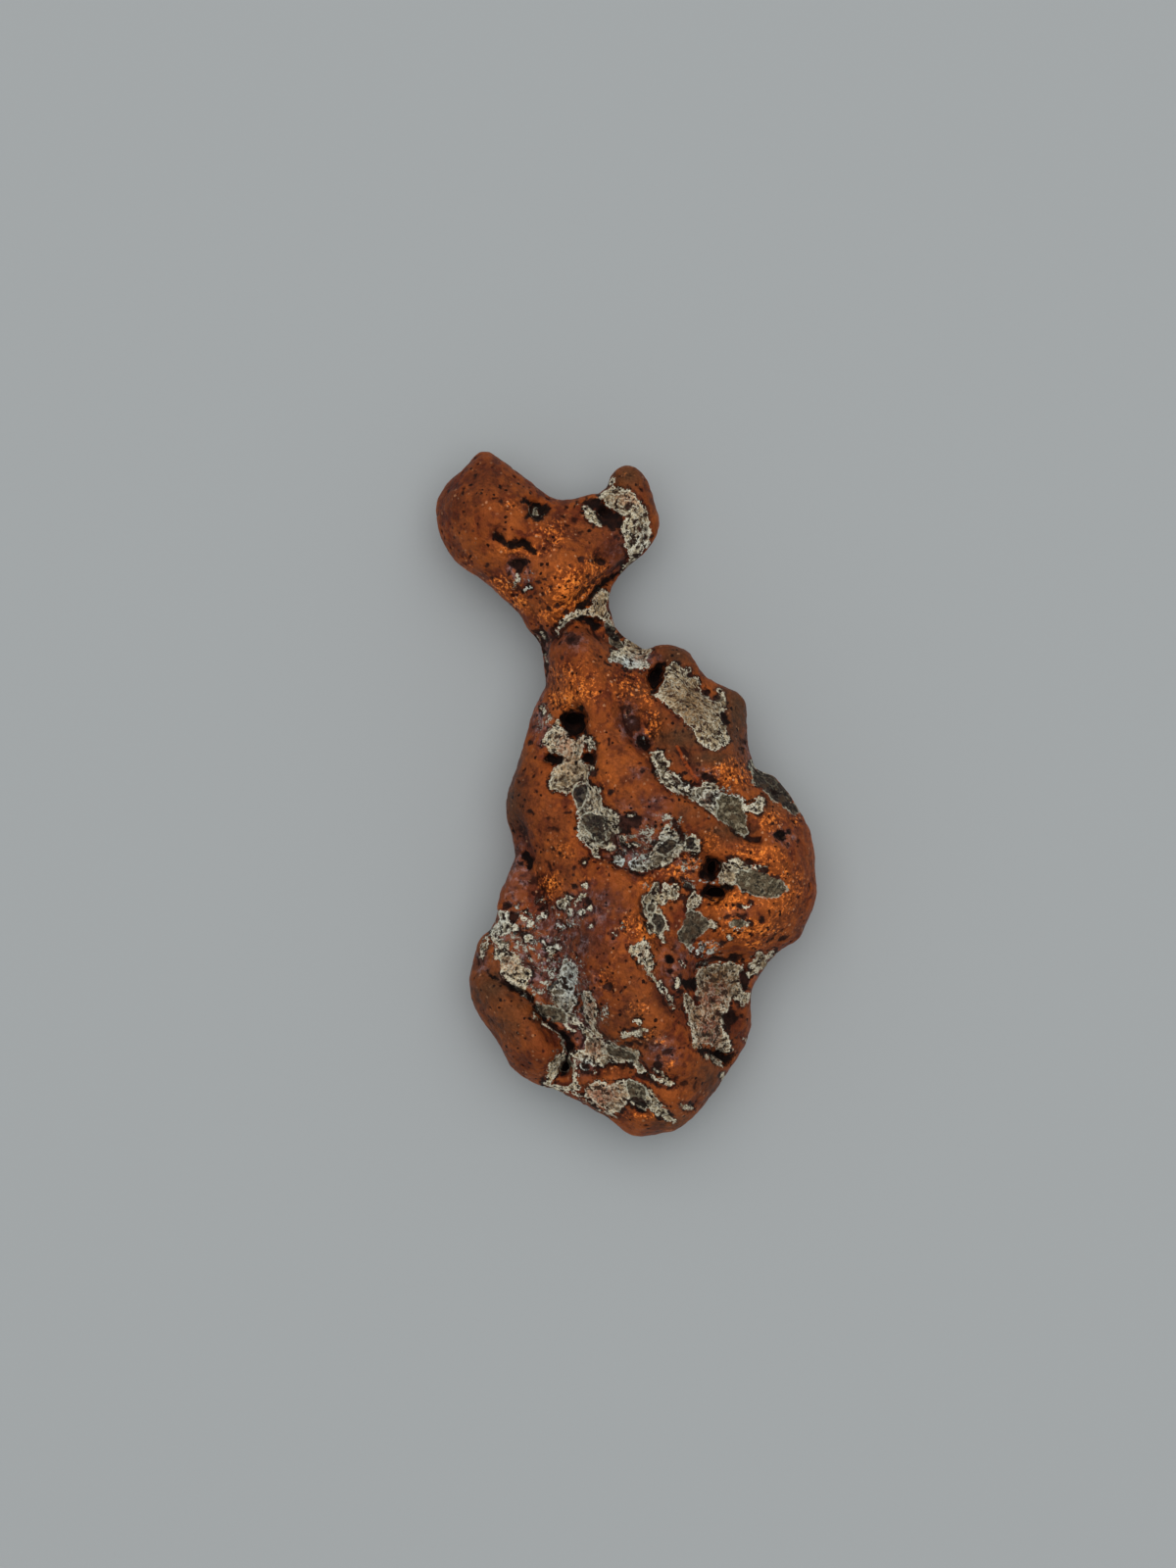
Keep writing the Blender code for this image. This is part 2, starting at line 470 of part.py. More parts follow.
def set_down(nugget):
    """Wears the lowest places flat on the rest plane, and puts the middle of the box over the origin."""
    made = bmesh.new()
    made.from_mesh(nugget.data)
    everything = made.verts[:] + made.edges[:] + made.faces[:]
    worn = bmesh.ops.bisect_plane(made, geom=everything, dist=0.02 * MM, plane_co=(0, 0, 0),
                                  plane_no=(0, 0, -1), clear_outer=True)
    rims = [edge for edge in worn["geom_cut"] if isinstance(edge, bmesh.types.BMEdge) and edge.is_boundary]
    bmesh.ops.holes_fill(made, edges=rims, sides=0)
    bmesh.ops.triangulate(made, faces=[face for face in made.faces if len(face.verts) > 4])
    bmesh.ops.recalc_face_normals(made, faces=made.faces)
    made.to_mesh(nugget.data)
    made.free()
    points = points_of(nugget.data)
    points[points[:, 2] < 0.03, 2] = 0
    middle = (points.min(0) + points.max(0)) / 2
    set_points(nugget.data, points - (middle[0], middle[1], 0))


# ---------------------------------------------------------------- materials
def material(name, look):
    made = bpy.data.materials.new(name)
    made.use_nodes = True
    shader = made.node_tree.nodes["Principled BSDF"]
    shader.inputs["Base Color"].default_value = look["base"]
    shader.inputs["Metallic"].default_value = look["metallic"]
    shader.inputs["Roughness"].default_value = look["roughness"]
    made.diffuse_color = look["base"]
    return made


def main():
    for old in list(bpy.data.objects):
        bpy.data.objects.remove(old)
    parts = bpy.data.collections.new("copper_nugget")
    tools = bpy.data.collections.new("cutters")
    bpy.context.scene.collection.children.link(parts)
    bpy.context.scene.collection.children.link(tools)
    nugget = outline_slab(parts)
    remesh(nugget, SLAB_VOXEL, 0)
    inflate(nugget)
    remesh(nugget, BODY_VOXEL, 6)
    carve(nugget)
    remesh(nugget, FINE_VOXEL, 1)
    cut(nugget, cutter(nugget, tools))
    remesh(nugget, FINE_VOXEL, 1)
    thin(nugget)
    set_down(nugget)
    nugget.data.materials.clear()
    nugget.data.materials.append(material("copper", COPPER))
    nugget.data.shade_smooth()


main()
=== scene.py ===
"""A native copper nugget on a pale sheet, seen from straight above.

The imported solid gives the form. One finer skin replaces it, with the crust, stone, pits and cracks of the
nugget's upper side. Their tables are in picture coordinates: pixels of a 1200 by 1600 frame, x to the right
and y down. Lengths elsewhere are in millimetres unless a comment says otherwise.
"""

import itertools

import bmesh
import bpy
import numpy as np
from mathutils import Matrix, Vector


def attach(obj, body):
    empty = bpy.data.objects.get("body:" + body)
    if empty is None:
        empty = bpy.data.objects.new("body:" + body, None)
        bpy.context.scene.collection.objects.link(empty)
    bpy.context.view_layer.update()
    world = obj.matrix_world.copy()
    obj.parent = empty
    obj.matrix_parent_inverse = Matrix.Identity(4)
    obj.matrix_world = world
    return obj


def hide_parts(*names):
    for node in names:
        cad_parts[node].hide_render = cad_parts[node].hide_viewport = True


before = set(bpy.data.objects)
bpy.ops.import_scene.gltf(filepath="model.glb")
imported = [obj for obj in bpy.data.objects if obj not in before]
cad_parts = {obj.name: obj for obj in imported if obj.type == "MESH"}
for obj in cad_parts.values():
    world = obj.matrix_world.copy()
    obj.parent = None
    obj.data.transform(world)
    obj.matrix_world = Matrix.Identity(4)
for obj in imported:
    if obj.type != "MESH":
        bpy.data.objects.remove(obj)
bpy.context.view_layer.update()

MM = 0.001
NODE = "native_copper_nugget"

# ---------------------------------------------------------------- the camera's frame and the stage
FRAME_WIDTH, FRAME_HEIGHT = 1200, 1600  # pixels
PIXEL = 0.1  # the size of a pixel at the height of the nugget's rim
RIM_LEVEL = 7.5
AXIS = (-3.9, 1.06)  # the place on the sheet under the camera
CAMERA_DISTANCE = 350  # above the rim
SENSOR = 36
SHEET_HALF_WIDTH = 6.0  # metres
WINDOW_PLACE, WINDOW_WIDTH = (0.05, 0.5, 2.3), 3.0  # metres
WINDOW_WATTS = 38.75
SKY, SKY_STRENGTH = (0.97, 0.99, 1.0, 1), 0.4

# ---------------------------------------------------------------- the skin
WELD = 0.0005
FIRST_VOXEL, FIRST_SMOOTHINGS = 0.24, 6  # before the hollows are cut
SKIN_VOXEL, SKIN_SMOOTHINGS = 0.19, 1
SKIN_TRIANGLES = 194000
FIRST_THINNING = 1.35  # times that number, once the underside alone is thinned
CLOSE_ROUNDS, FAR_ROUNDS = 6, 40  # of smoothing, from which relief and form are measured

PUSH, PUSH_LENGTH = 1.8, 9.0  # pixels: how far outlines are pushed about, and over what length
SMALL_PUSH, SMALL_PUSH_LENGTH = 1.4, 4.0
CUT_PUSH = 3.0  # the small push where the hollows are cut
REACH = 14.0  # pixels, beyond which a distance no longer matters

# Fine bumps: length, height and seed of each layer.
COPPER_BUMPS = [(2.6, 0.17, 5), (1.1, 0.08, 6), (0.55, 0.04, 7)]
CRUST_BUMPS = [(0.7, 0.07, 8), (0.42, 0.06, 9)]
STONE_BUMPS = [(1.6, 0.04, 10)]
PITTING_DEPTH = 0.14
CRUST_SINK, STONE_SINK = 0.10, 0.06
RIM_HEIGHT, SEAM_DEPTH = 0.07, 0.07  # of the crust's rim and of the groove outside it

# The underside's patches: length and seed of their noise, its values where they start and end, and strength.
UNDERSIDE = {
    "worn": (8.0, 40, 0.1, 0.6, 0.6),
    "tarnish": (11.0, 50, 0.0, 0.5, 1.0),
    "purple": (10.0, 60, 0.05, 0.5, 1.0),
    "tan": (10.0, 70, -0.1, 0.3, 1.0),
    "pink": (6.0, 80, 0.1, 0.4, 1.0),
    "dull": (7.0, 85, 0.1, 0.5, 1.0),
    "cool": (9.0, 88, 0.2, 0.6, 1.0),
    "deep_red_and_shade": (7.0, 89, 0.0, 0.5, 0.7),
    "slate": (7.0, 90, -0.3, 0.3, 1.0),
}

# ---------------------------------------------------------------- colours: red, green and blue from 0 to 255
BROWN, ORANGE_BROWN, CLOUD = (106, 46, 24), (142, 74, 35), (88, 40, 24)
# The deep red is a dark red copper tone that also serves as painted shade on flanks and slopes.
DEEP_RED_AND_SHADE, TARNISH_BROWN = (95, 39, 21), (94, 64, 40)
DARK_PLUM, PLUM, HAZE = (68, 39, 35), (112, 64, 52), (144, 124, 126)
# The worn orange and the glow are worn copper with a painted highlight on it; the proud orange is a painted
# highlight on worn ridges.
WORN_HIGHLIGHT_ORANGE, PAINTED_HIGHLIGHT, PROUD_WEAR_AND_HIGHLIGHT, FRESH_CUT = (178, 86, 30), (226, 126, 52), (200, 104, 40), (190, 84, 28)
# Painted shade in small dents and in broad valleys.
SMALL_DENT_SHADE, VALLEY_SHADE = (38, 15, 10), (50, 20, 12)
# Painted shade in tiny pits and small holes, and a painted glint of highlight.
SPECK_SHADE, SMALL_HOLE_SHADE, PAINTED_GLINT = (24, 9, 6), (40, 15, 8), (255, 190, 140)

CHALK, SAND, COOL_CHALK = (184, 168, 136), (168, 137, 99), (168, 178, 174)
STAIN, DULL_BROWN, ROSE, RED_BROWN = (102, 84, 62), (96, 66, 38), (172, 116, 90), (104, 54, 40)
PALE_RIDGE, COOL_RIDGE = (242, 234, 208), (222, 232, 230)
# Painted shade in the crust's pores, dents and holes.
DARK_PORE_SHADE, PORE_SHADE = (42, 30, 24), (74, 50, 36)
CRUST_DENT_SHADE, SMALL_PORE_SHADE, CRUST_HOLE_SHADE = (52, 40, 30), (48, 36, 26), (26, 17, 12)
# Painted shadow in the seam and the gaps round the crust.
SEAM_SHADOW, GAP_SHADOW = (50, 26, 17), (26, 12, 9)

GREY_STONE, SLATE, FLECK = (104, 92, 70), (44, 36, 35), (166, 156, 130)
SCRATCH, STONE_BROWN, STONE_EDGE = (32, 27, 24), (92, 70, 50), (196, 194, 172)
POWDER_WHITE, COOL_POWDER, POWDER_GAP = (204, 202, 182), (196, 210, 208), (84, 74, 68)
# Painted shade in the hollows, clefts and pits: dark, brown and black.
HOLLOW_SHADE_DARK, HOLLOW_SHADE_BROWN, HOLLOW_SHADE_BLACK = (32, 17, 13), (66, 35, 26), (15, 7, 5)
SHEET = (174, 178, 179)

# ---------------------------------------------------------------- where the crust, stone and hollows lie
# Pale crust, in outlines.
CRUSTS = [
    # the horn
    [(612, 504), (622, 499), (632, 498), (642, 500), (650, 506), (656, 514), (661, 524), (663, 534),
     (664, 543), (663, 552), (660, 560), (654, 568), (646, 574), (640, 580), (634, 583), (636, 578),
     (641, 573), (643, 569), (641, 562), (638, 556), (637, 548), (634, 540), (633, 535), (638, 530),
     (640, 527), (634, 524), (625, 519), (616, 513), (612, 510)],
    [(590, 515), (594, 517), (601, 518), (607, 522), (609, 530), (614, 533), (613, 538), (606, 534),
     (600, 531), (596, 524)],
    [(623, 488), (627, 487), (628, 493), (625, 497), (622, 494)],
    # the neck
    [(566, 641), (571, 636), (577, 629), (584, 624), (592, 621), (598, 623), (604, 617), (605, 608),
     (609, 601), (616, 600), (621, 606), (621, 614), (619, 622), (622, 630), (627, 637), (630, 641),
     (625, 641), (617, 634), (609, 629), (600, 629), (590, 629), (583, 633), (576, 638), (571, 641),
     (569, 648), (568, 644)],
    [(620, 672), (624, 665), (632, 662), (638, 658), (637, 651), (641, 648), (648, 653), (656, 659),
     (662, 663), (667, 665), (661, 668), (661, 676), (662, 682), (656, 683), (650, 682), (643, 683),
     (637, 679), (630, 675), (622, 675)],
    # the upper right
    [(667, 709), (672, 706), (674, 700), (677, 692), (677, 686), (680, 680), (685, 677), (691, 676),
     (695, 681), (699, 683), (704, 682), (706, 685), (702, 688), (704, 692), (709, 691), (714, 692),
     (715, 697), (715, 703), (717, 708), (720, 711), (727, 713), (731, 713), (731, 705), (733, 702),
     (738, 706), (740, 712), (741, 719), (740, 724), (736, 727), (735, 733), (738, 738), (742, 741),
     (744, 748), (744, 755), (740, 759), (737, 762), (734, 766), (727, 765), (720, 763), (715, 758),
     (711, 752), (708, 747), (704, 742), (700, 738), (695, 732), (689, 727), (683, 722), (677, 717),
     (671, 712)],
    # the upper left
    [(569, 733), (571, 739), (574, 743), (578, 747), (580, 753), (585, 755), (590, 753), (594, 751),
     (598, 750), (600, 753), (604, 752), (606, 757), (606, 764), (602, 768), (600, 766), (600, 758),
     (597, 757), (594, 762), (594, 767), (592, 772), (592, 776), (595, 779), (600, 781), (606, 781),
     (608, 784), (605, 786), (601, 786), (601, 792), (601, 799), (596, 801), (590, 800), (586, 804),
     (583, 809), (577, 809), (570, 808), (562, 805), (560, 800), (561, 794), (565, 788), (565, 783),
     (572, 781), (575, 777), (575, 771), (571, 770), (568, 767), (563, 769), (559, 766), (558, 761),
     (553, 761), (552, 756), (555, 751), (557, 747), (562, 743), (566, 739)],
    [(600, 804), (603, 801), (609, 802), (612, 807), (614, 815), (616, 822), (620, 824), (626, 828),
     (630, 834), (633, 841), (637, 844), (633, 848), (628, 851), (625, 855), (625, 861), (629, 866),
     (626, 869), (618, 867), (612, 866), (610, 870), (613, 877), (609, 877), (605, 872), (602, 865),
     (596, 862), (592, 858), (589, 852), (589, 844), (590, 836), (592, 829), (590, 824), (595, 818),
     (599, 811)],
    # the band across the middle
    [(663, 768), (668, 766), (673, 767), (676, 769), (678, 773), (682, 777), (683, 782), (681, 787),
     (680, 791), (684, 789), (690, 790), (695, 792), (697, 797), (702, 800), (703, 805), (708, 802),
     (712, 802), (716, 803), (717, 798), (723, 797), (729, 799), (732, 802), (733, 807), (738, 810),
     (745, 811), (754, 811), (758, 816), (760, 820), (764, 821), (768, 818), (771, 814), (776, 812),
     (781, 813), (782, 818), (780, 824), (776, 830), (771, 831), (765, 829), (760, 829), (761, 838),
     (762, 850), (759, 853), (752, 849), (745, 843), (738, 838), (731, 833), (725, 829), (718, 824),
     (711, 820), (704, 815), (697, 812), (690, 809), (684, 808), (680, 803), (676, 799), (672, 794),
     (671, 787), (669, 781), (666, 774)],
    # the curl in the middle
    [(656, 880), (662, 876), (664, 870), (668, 864), (671, 858), (673, 852), (676, 847), (677, 841),
     (683, 841), (688, 846), (692, 850), (695, 856), (700, 853), (706, 851), (711, 853), (714, 860),
     (714, 868), (710, 872), (704, 868), (697, 868), (693, 872), (688, 876), (683, 880), (678, 883),
     (670, 885), (664, 887), (658, 887)],
    [(641, 884), (643, 877), (648, 874), (655, 877), (660, 883), (660, 889), (652, 890), (645, 888)],
    [(627, 873), (633, 870), (637, 876), (636, 883), (630, 884), (627, 879)],
    [(633, 853), (638, 852), (640, 858), (637, 862), (633, 860)],
    # the right lobe and left of it
    [(733, 893), (737, 889), (735, 884), (736, 880), (742, 881), (747, 877), (753, 875), (758, 878),
     (764, 882), (774, 883), (783, 885), (776, 888), (768, 888), (762, 890), (755, 888), (751, 893),
     (750, 901), (746, 904), (739, 903), (733, 899)],
    [(702, 913), (708, 911), (714, 914), (717, 919), (713, 923), (709, 926), (706, 930), (702, 930),
     (702, 922)],
    [(722, 938), (727, 939), (731, 945), (728, 948), (723, 945)],
    [(654, 919), (658, 914), (662, 911), (664, 905), (666, 901), (670, 900), (673, 904), (673, 911),
     (676, 909), (675, 903), (679, 901), (684, 903), (689, 901), (693, 904), (691, 909), (694, 914),
     (689, 919), (682, 918), (678, 922), (672, 922), (671, 927), (675, 931), (679, 937), (681, 945),
     (680, 951), (676, 953), (678, 960), (675, 962), (673, 955), (668, 953), (662, 950), (659, 944),
     (661, 938), (658, 932), (655, 926)],
    [(641, 968), (644, 965), (650, 965), (653, 961), (657, 956), (660, 962), (661, 967), (664, 973),
     (667, 978), (667, 985), (664, 992), (660, 989), (654, 985), (649, 979), (645, 973)],
    # the block at the lower right
    [(688, 999), (693, 999), (694, 1004), (692, 1009), (688, 1008)],
    [(762, 996), (764, 988), (768, 980), (772, 974), (776, 971), (779, 975), (783, 973), (788, 970),
     (792, 972), (786, 977), (782, 981), (784, 985), (780, 989), (776, 987), (773, 992), (768, 995),
     (764, 999)],
    [(711, 991), (714, 988), (721, 986), (728, 984), (735, 982), (742, 981), (746, 980), (752, 983),
     (758, 984), (758, 990), (754, 993), (755, 1001), (756, 1010), (761, 1012), (766, 1012), (765, 1018),
     (763, 1023), (757, 1026), (754, 1023), (750, 1020), (746, 1018), (744, 1025), (741, 1033),
     (738, 1035), (737, 1040), (737, 1046), (739, 1051), (743, 1057), (745, 1063), (748, 1069),
     (750, 1073), (744, 1073), (737, 1073), (729, 1070), (723, 1065), (718, 1066), (715, 1069),
     (711, 1071), (706, 1067), (708, 1060), (706, 1051), (704, 1044), (700, 1033), (698, 1023),
     (696, 1014), (702, 1013), (706, 1019), (708, 1024), (712, 1027), (716, 1026), (712, 1020),
     (711, 1014), (710, 1005), (710, 997)],
    # the foot
    [(597, 1112), (601, 1107), (606, 1103), (612, 1101), (617, 1104), (620, 1108), (626, 1106),
     (633, 1103), (640, 1102), (647, 1103), (655, 1106), (659, 1111), (664, 1113), (670, 1119),
     (674, 1124), (676, 1129), (680, 1133), (684, 1138), (690, 1143), (688, 1147), (683, 1144),
     (677, 1141), (671, 1138), (665, 1134), (660, 1131), (655, 1126), (650, 1123), (645, 1125),
     (641, 1123), (637, 1127), (633, 1133), (629, 1138), (622, 1135), (615, 1131), (608, 1126),
     (602, 1121), (599, 1117)],
    [(661, 1093), (668, 1096), (674, 1101), (680, 1103), (686, 1104), (688, 1107), (683, 1109),
     (676, 1107), (670, 1104), (665, 1100)],
    [(617, 1066), (622, 1061), (632, 1068), (642, 1068), (650, 1072), (653, 1078), (652, 1084),
     (658, 1088), (660, 1093), (654, 1095), (648, 1093), (645, 1088), (640, 1084), (630, 1084),
     (620, 1081), (615, 1076)],
    [(633, 1060), (634, 1055), (640, 1052), (648, 1053), (654, 1055), (656, 1058), (650, 1058),
     (643, 1057), (637, 1060)],
    [(586, 1080), (587, 1073), (593, 1070), (599, 1075), (605, 1080), (612, 1081), (620, 1078),
     (627, 1078), (621, 1084), (614, 1088), (604, 1088), (598, 1086), (592, 1083)],
    [(598, 1062), (603, 1056), (610, 1058), (616, 1062), (618, 1072), (620, 1079), (612, 1082),
     (604, 1080), (598, 1076), (596, 1070)],
    # the lower body
    [(574, 980), (580, 978), (586, 983), (590, 990), (590, 1000), (587, 1008), (586, 1015), (589, 1020),
     (584, 1026), (584, 1033), (588, 1038), (594, 1044), (600, 1050), (604, 1057), (600, 1058),
     (593, 1050), (586, 1044), (580, 1038), (574, 1032), (568, 1027), (561, 1021), (561, 1012),
     (566, 1006), (571, 1000), (571, 990)],
    [(595, 1012), (600, 1012), (604, 1013), (606, 1020), (608, 1028), (611, 1038), (608, 1040),
     (606, 1046), (610, 1053), (615, 1060), (611, 1061), (604, 1052), (600, 1044), (596, 1036),
     (596, 1028), (595, 1020)],
    # the left edge
    [(509, 975), (515, 970), (524, 971), (530, 976), (531, 985), (536, 985), (541, 989), (543, 997),
     (538, 1005), (534, 1011), (528, 1010), (521, 1004), (515, 999), (511, 992), (510, 984)],
    [(508, 930), (515, 928), (519, 932), (521, 940), (528, 943), (529, 949), (521, 950), (518, 956),
     (512, 956), (506, 953), (501, 956), (500, 950), (505, 945), (507, 938)],
    [(496, 955), (499, 954), (498, 962), (494, 970), (491, 980), (489, 978), (492, 967)],
    [(506, 970), (510, 972), (510, 978), (506, 978)],
    [(500, 957), (508, 956), (516, 961), (519, 970), (513, 971), (508, 967), (503, 963)],
    # small lumps on the left
    [(569, 920), (574, 917), (578, 914), (583, 916), (583, 920), (579, 922), (576, 927), (572, 928),
     (570, 924)],
    [(575, 929), (580, 925), (584, 929), (583, 936), (580, 934)],
    [(584, 921), (589, 917), (593, 912), (597, 911), (598, 915), (593, 919), (588, 923)],
    [(594, 901), (598, 900), (600, 906), (596, 907)],
    [(590, 930), (594, 927), (597, 933), (592, 934)],
    [(598, 928), (602, 923), (605, 927), (602, 931)],
    [(568, 947), (569, 941), (573, 944), (577, 947), (572, 950)],
    [(567, 959), (569, 955), (574, 954), (574, 959)],
    [(555, 960), (559, 965), (564, 966), (570, 963), (574, 966), (569, 970), (567, 975), (563, 979),
     (559, 975), (559, 968)],
    [(531, 931), (536, 931), (538, 936), (534, 940), (531, 936)],
    [(539, 946), (540, 940), (543, 938), (545, 943), (544, 947)],
    [(548, 939), (551, 932), (556, 927), (558, 931), (554, 937)],
    [(533, 955), (539, 952), (544, 957), (544, 961), (537, 962)],
    # beside the fold over the flap
    [(554, 1104), (556, 1099), (559, 1095), (559, 1089), (563, 1083), (568, 1077), (573, 1073),
     (576, 1071), (578, 1076), (575, 1083), (571, 1090), (567, 1096), (564, 1101), (563, 1106),
     (569, 1108), (577, 1109), (584, 1107), (585, 1101), (583, 1095), (586, 1092), (589, 1096),
     (590, 1104), (593, 1109), (590, 1113), (583, 1114), (575, 1112), (566, 1110), (557, 1108)],
    # single patches
    [(552, 721), (556, 721), (557, 727), (553, 728)],
    [(695, 1127), (701, 1127), (706, 1131), (703, 1134), (698, 1131)],
    [(767, 778), (770, 783), (773, 790), (774, 799), (770, 800), (768, 792), (766, 785)],
]

# Thin lines and small grains of the crust: half-width in pixels and course.
CRUST_LINES = [
    (1.0, [(660, 990), (664, 995), (669, 1000), (673, 1004)]),
    (0.8, [(671, 1004), (677, 1015), (683, 1023), (687, 1029)]),
    (0.7, [(674, 1002), (680, 1012), (685, 1021), (688, 1027)]),
    (1.5, [(581, 1080), (583, 1075), (588, 1073)]),
    (1.8, [(580, 1083), (585, 1087), (588, 1089)]),
    (0.9, [(583, 1098), (585, 1093), (588, 1086), (586, 1080)]),
    (0.8, [(566, 1111), (578, 1114), (590, 1118), (600, 1124), (612, 1132), (624, 1138), (629, 1140)]),
    (0.8, [(545, 1036), (552, 1042), (560, 1048), (567, 1053), (573, 1058), (576, 1066), (578, 1074)]),
    (1.8, [(731, 1083), (736, 1087)]),
    (1.3, [(719, 1076), (722, 1079)]),
    (1.4, [(726, 1077), (727, 1079)]),
    (1.2, [(528, 588), (526, 594), (524, 600)]),
    (1.3, [(535, 602), (538, 600), (542, 599)]),
    (3.2, [(546, 521), (547, 524)]),
    (2.6, [(650, 1042), (652, 1044)]),
    (1.6, [(654, 1050), (660, 1051)]),
    (1.5, [(622, 1062), (626, 1066), (631, 1069)]),
    (1.2, [(641, 862), (642, 863)]),
    (1.4, [(648, 862), (652, 863)]),
    (1.2, [(642, 832), (647, 832)]),
    (1.6, [(636, 942), (636, 947)]),
    (1.6, [(625, 953), (627, 953)]),
    (1.8, [(745, 957), (746, 957)]),
    (1.6, [(713, 964), (714, 964)]),
    (1.6, [(704, 966), (706, 971)]),
    (2.2, [(711, 970), (713, 972)]),
    (1.0, [(748, 948), (756, 948), (765, 942)]),
    (1.2, [(695, 982), (698, 985)]),
    (1.1, [(602, 946), (604, 944)]),
    (1.3, [(596, 880), (597, 881)]),
    (1.2, [(606, 1093), (607, 1095)]),
    (1.6, [(737, 1095), (738, 1100)]),
    (1.0, [(699, 1015), (701, 1030), (704, 1045), (707, 1055), (709, 1064)]),
    (1.2, [(760, 925), (766, 924)]),
    (1.0, [(792, 811), (796, 813)]),
    (1.0, [(759, 1060), (761, 1062)]),
    (0.9, [(623, 641), (629, 645)]),
    (0.8, [(632, 655), (637, 660)]),
    (0.9, [(552, 646), (556, 652)]),
    (0.8, [(549, 650), (551, 657)]),
    (0.8, [(556, 668), (558, 676)]),
    (1.0, [(562, 1030), (570, 1036), (577, 1044), (584, 1052)]),
    (0.8, [(570, 1030), (578, 1038), (586, 1046)]),
    (0.9, [(770, 779), (772, 784), (775, 788)]),
    (1.1, [(779, 789), (781, 792)]),
    (1.4, [(796, 810), (797, 813)]),
    (1.0, [(644, 1124), (652, 1128), (660, 1132)]),
    (0.8, [(668, 1090), (674, 1094), (678, 1100)]),
    (1.0, [(593, 1088), (595, 1084), (600, 1083), (603, 1087), (600, 1092), (595, 1092)]),
]

# Stone in the hollows: darkness from 0, grey-brown, to 1, slate, and outline.
STONES = [
    (1.0, [(583, 811), (584, 805), (588, 801), (594, 800), (599, 802), (600, 808), (598, 815), (594, 821),
        (590, 825), (586, 820)]),
    (0.9, [(594, 833), (599, 829), (605, 829), (609, 832), (614, 831), (617, 836), (618, 843), (619, 848),
        (617, 855), (612, 862), (608, 858), (604, 853), (600, 849), (597, 843), (594, 838)]),
    (0.9, [(675, 862), (678, 858), (683, 855), (688, 857), (689, 863), (686, 868), (682, 871), (675, 871),
        (671, 868)]),
    (1.0, [(700, 856), (704, 854), (709, 856), (710, 862), (707, 868), (701, 866)]),
    (0.2, [(737, 811), (745, 812), (753, 813), (757, 818), (759, 824), (760, 832), (761, 842), (762, 850),
        (759, 853), (752, 849), (745, 843), (738, 838), (731, 832), (733, 825), (730, 818), (734, 813)]),
    (0.3, [(750, 893), (755, 888), (763, 889), (770, 887), (778, 891), (786, 894), (795, 897), (801, 900),
        (803, 907), (799, 912), (792, 915), (782, 916), (770, 914), (763, 911), (756, 907), (750, 902)]),
    (0.6, [(702, 930), (706, 929), (713, 931), (717, 935), (722, 938), (724, 944), (721, 950), (717, 953),
        (712, 957), (708, 961), (702, 965), (697, 963), (693, 959), (692, 953), (696, 948), (697, 940),
        (699, 935)]),
    (0.3, [(746, 943), (750, 937), (757, 937), (763, 942), (758, 947), (750, 946)]),
    (0.9, [(767, 776), (772, 783), (779, 790), (786, 790), (793, 795), (800, 801), (806, 809), (808, 819),
        (814, 824), (816, 830), (810, 830), (803, 824), (796, 821), (789, 817), (784, 810), (780, 807),
        (773, 803), (768, 798), (767, 790)]),
    (0.6, [(660, 924), (665, 922), (669, 924), (668, 929), (663, 930), (660, 927)]),
    (0.8, [(664, 936), (668, 933), (673, 933), (678, 938), (679, 945), (676, 951), (671, 950), (667, 943),
        (663, 941)]),
    (0.4, [(640, 1103), (648, 1104), (656, 1107), (660, 1112), (662, 1118), (657, 1122), (650, 1121),
        (643, 1122), (640, 1116), (639, 1109)]),
    (0.5, [(620, 1066), (628, 1070), (638, 1070), (646, 1074), (650, 1080), (645, 1082), (636, 1081),
        (626, 1079), (619, 1074)]),
    (0.8, [(614, 637), (621, 636), (628, 640), (630, 645), (624, 647), (617, 643)]),
    (0.7, [(622, 650), (628, 649), (635, 655), (637, 661), (630, 661), (623, 657)]),
    (0.5, [(545, 1023), (552, 1024), (562, 1027), (572, 1030), (580, 1037), (577, 1044), (570, 1044),
        (562, 1041), (554, 1036), (548, 1030)]),
]
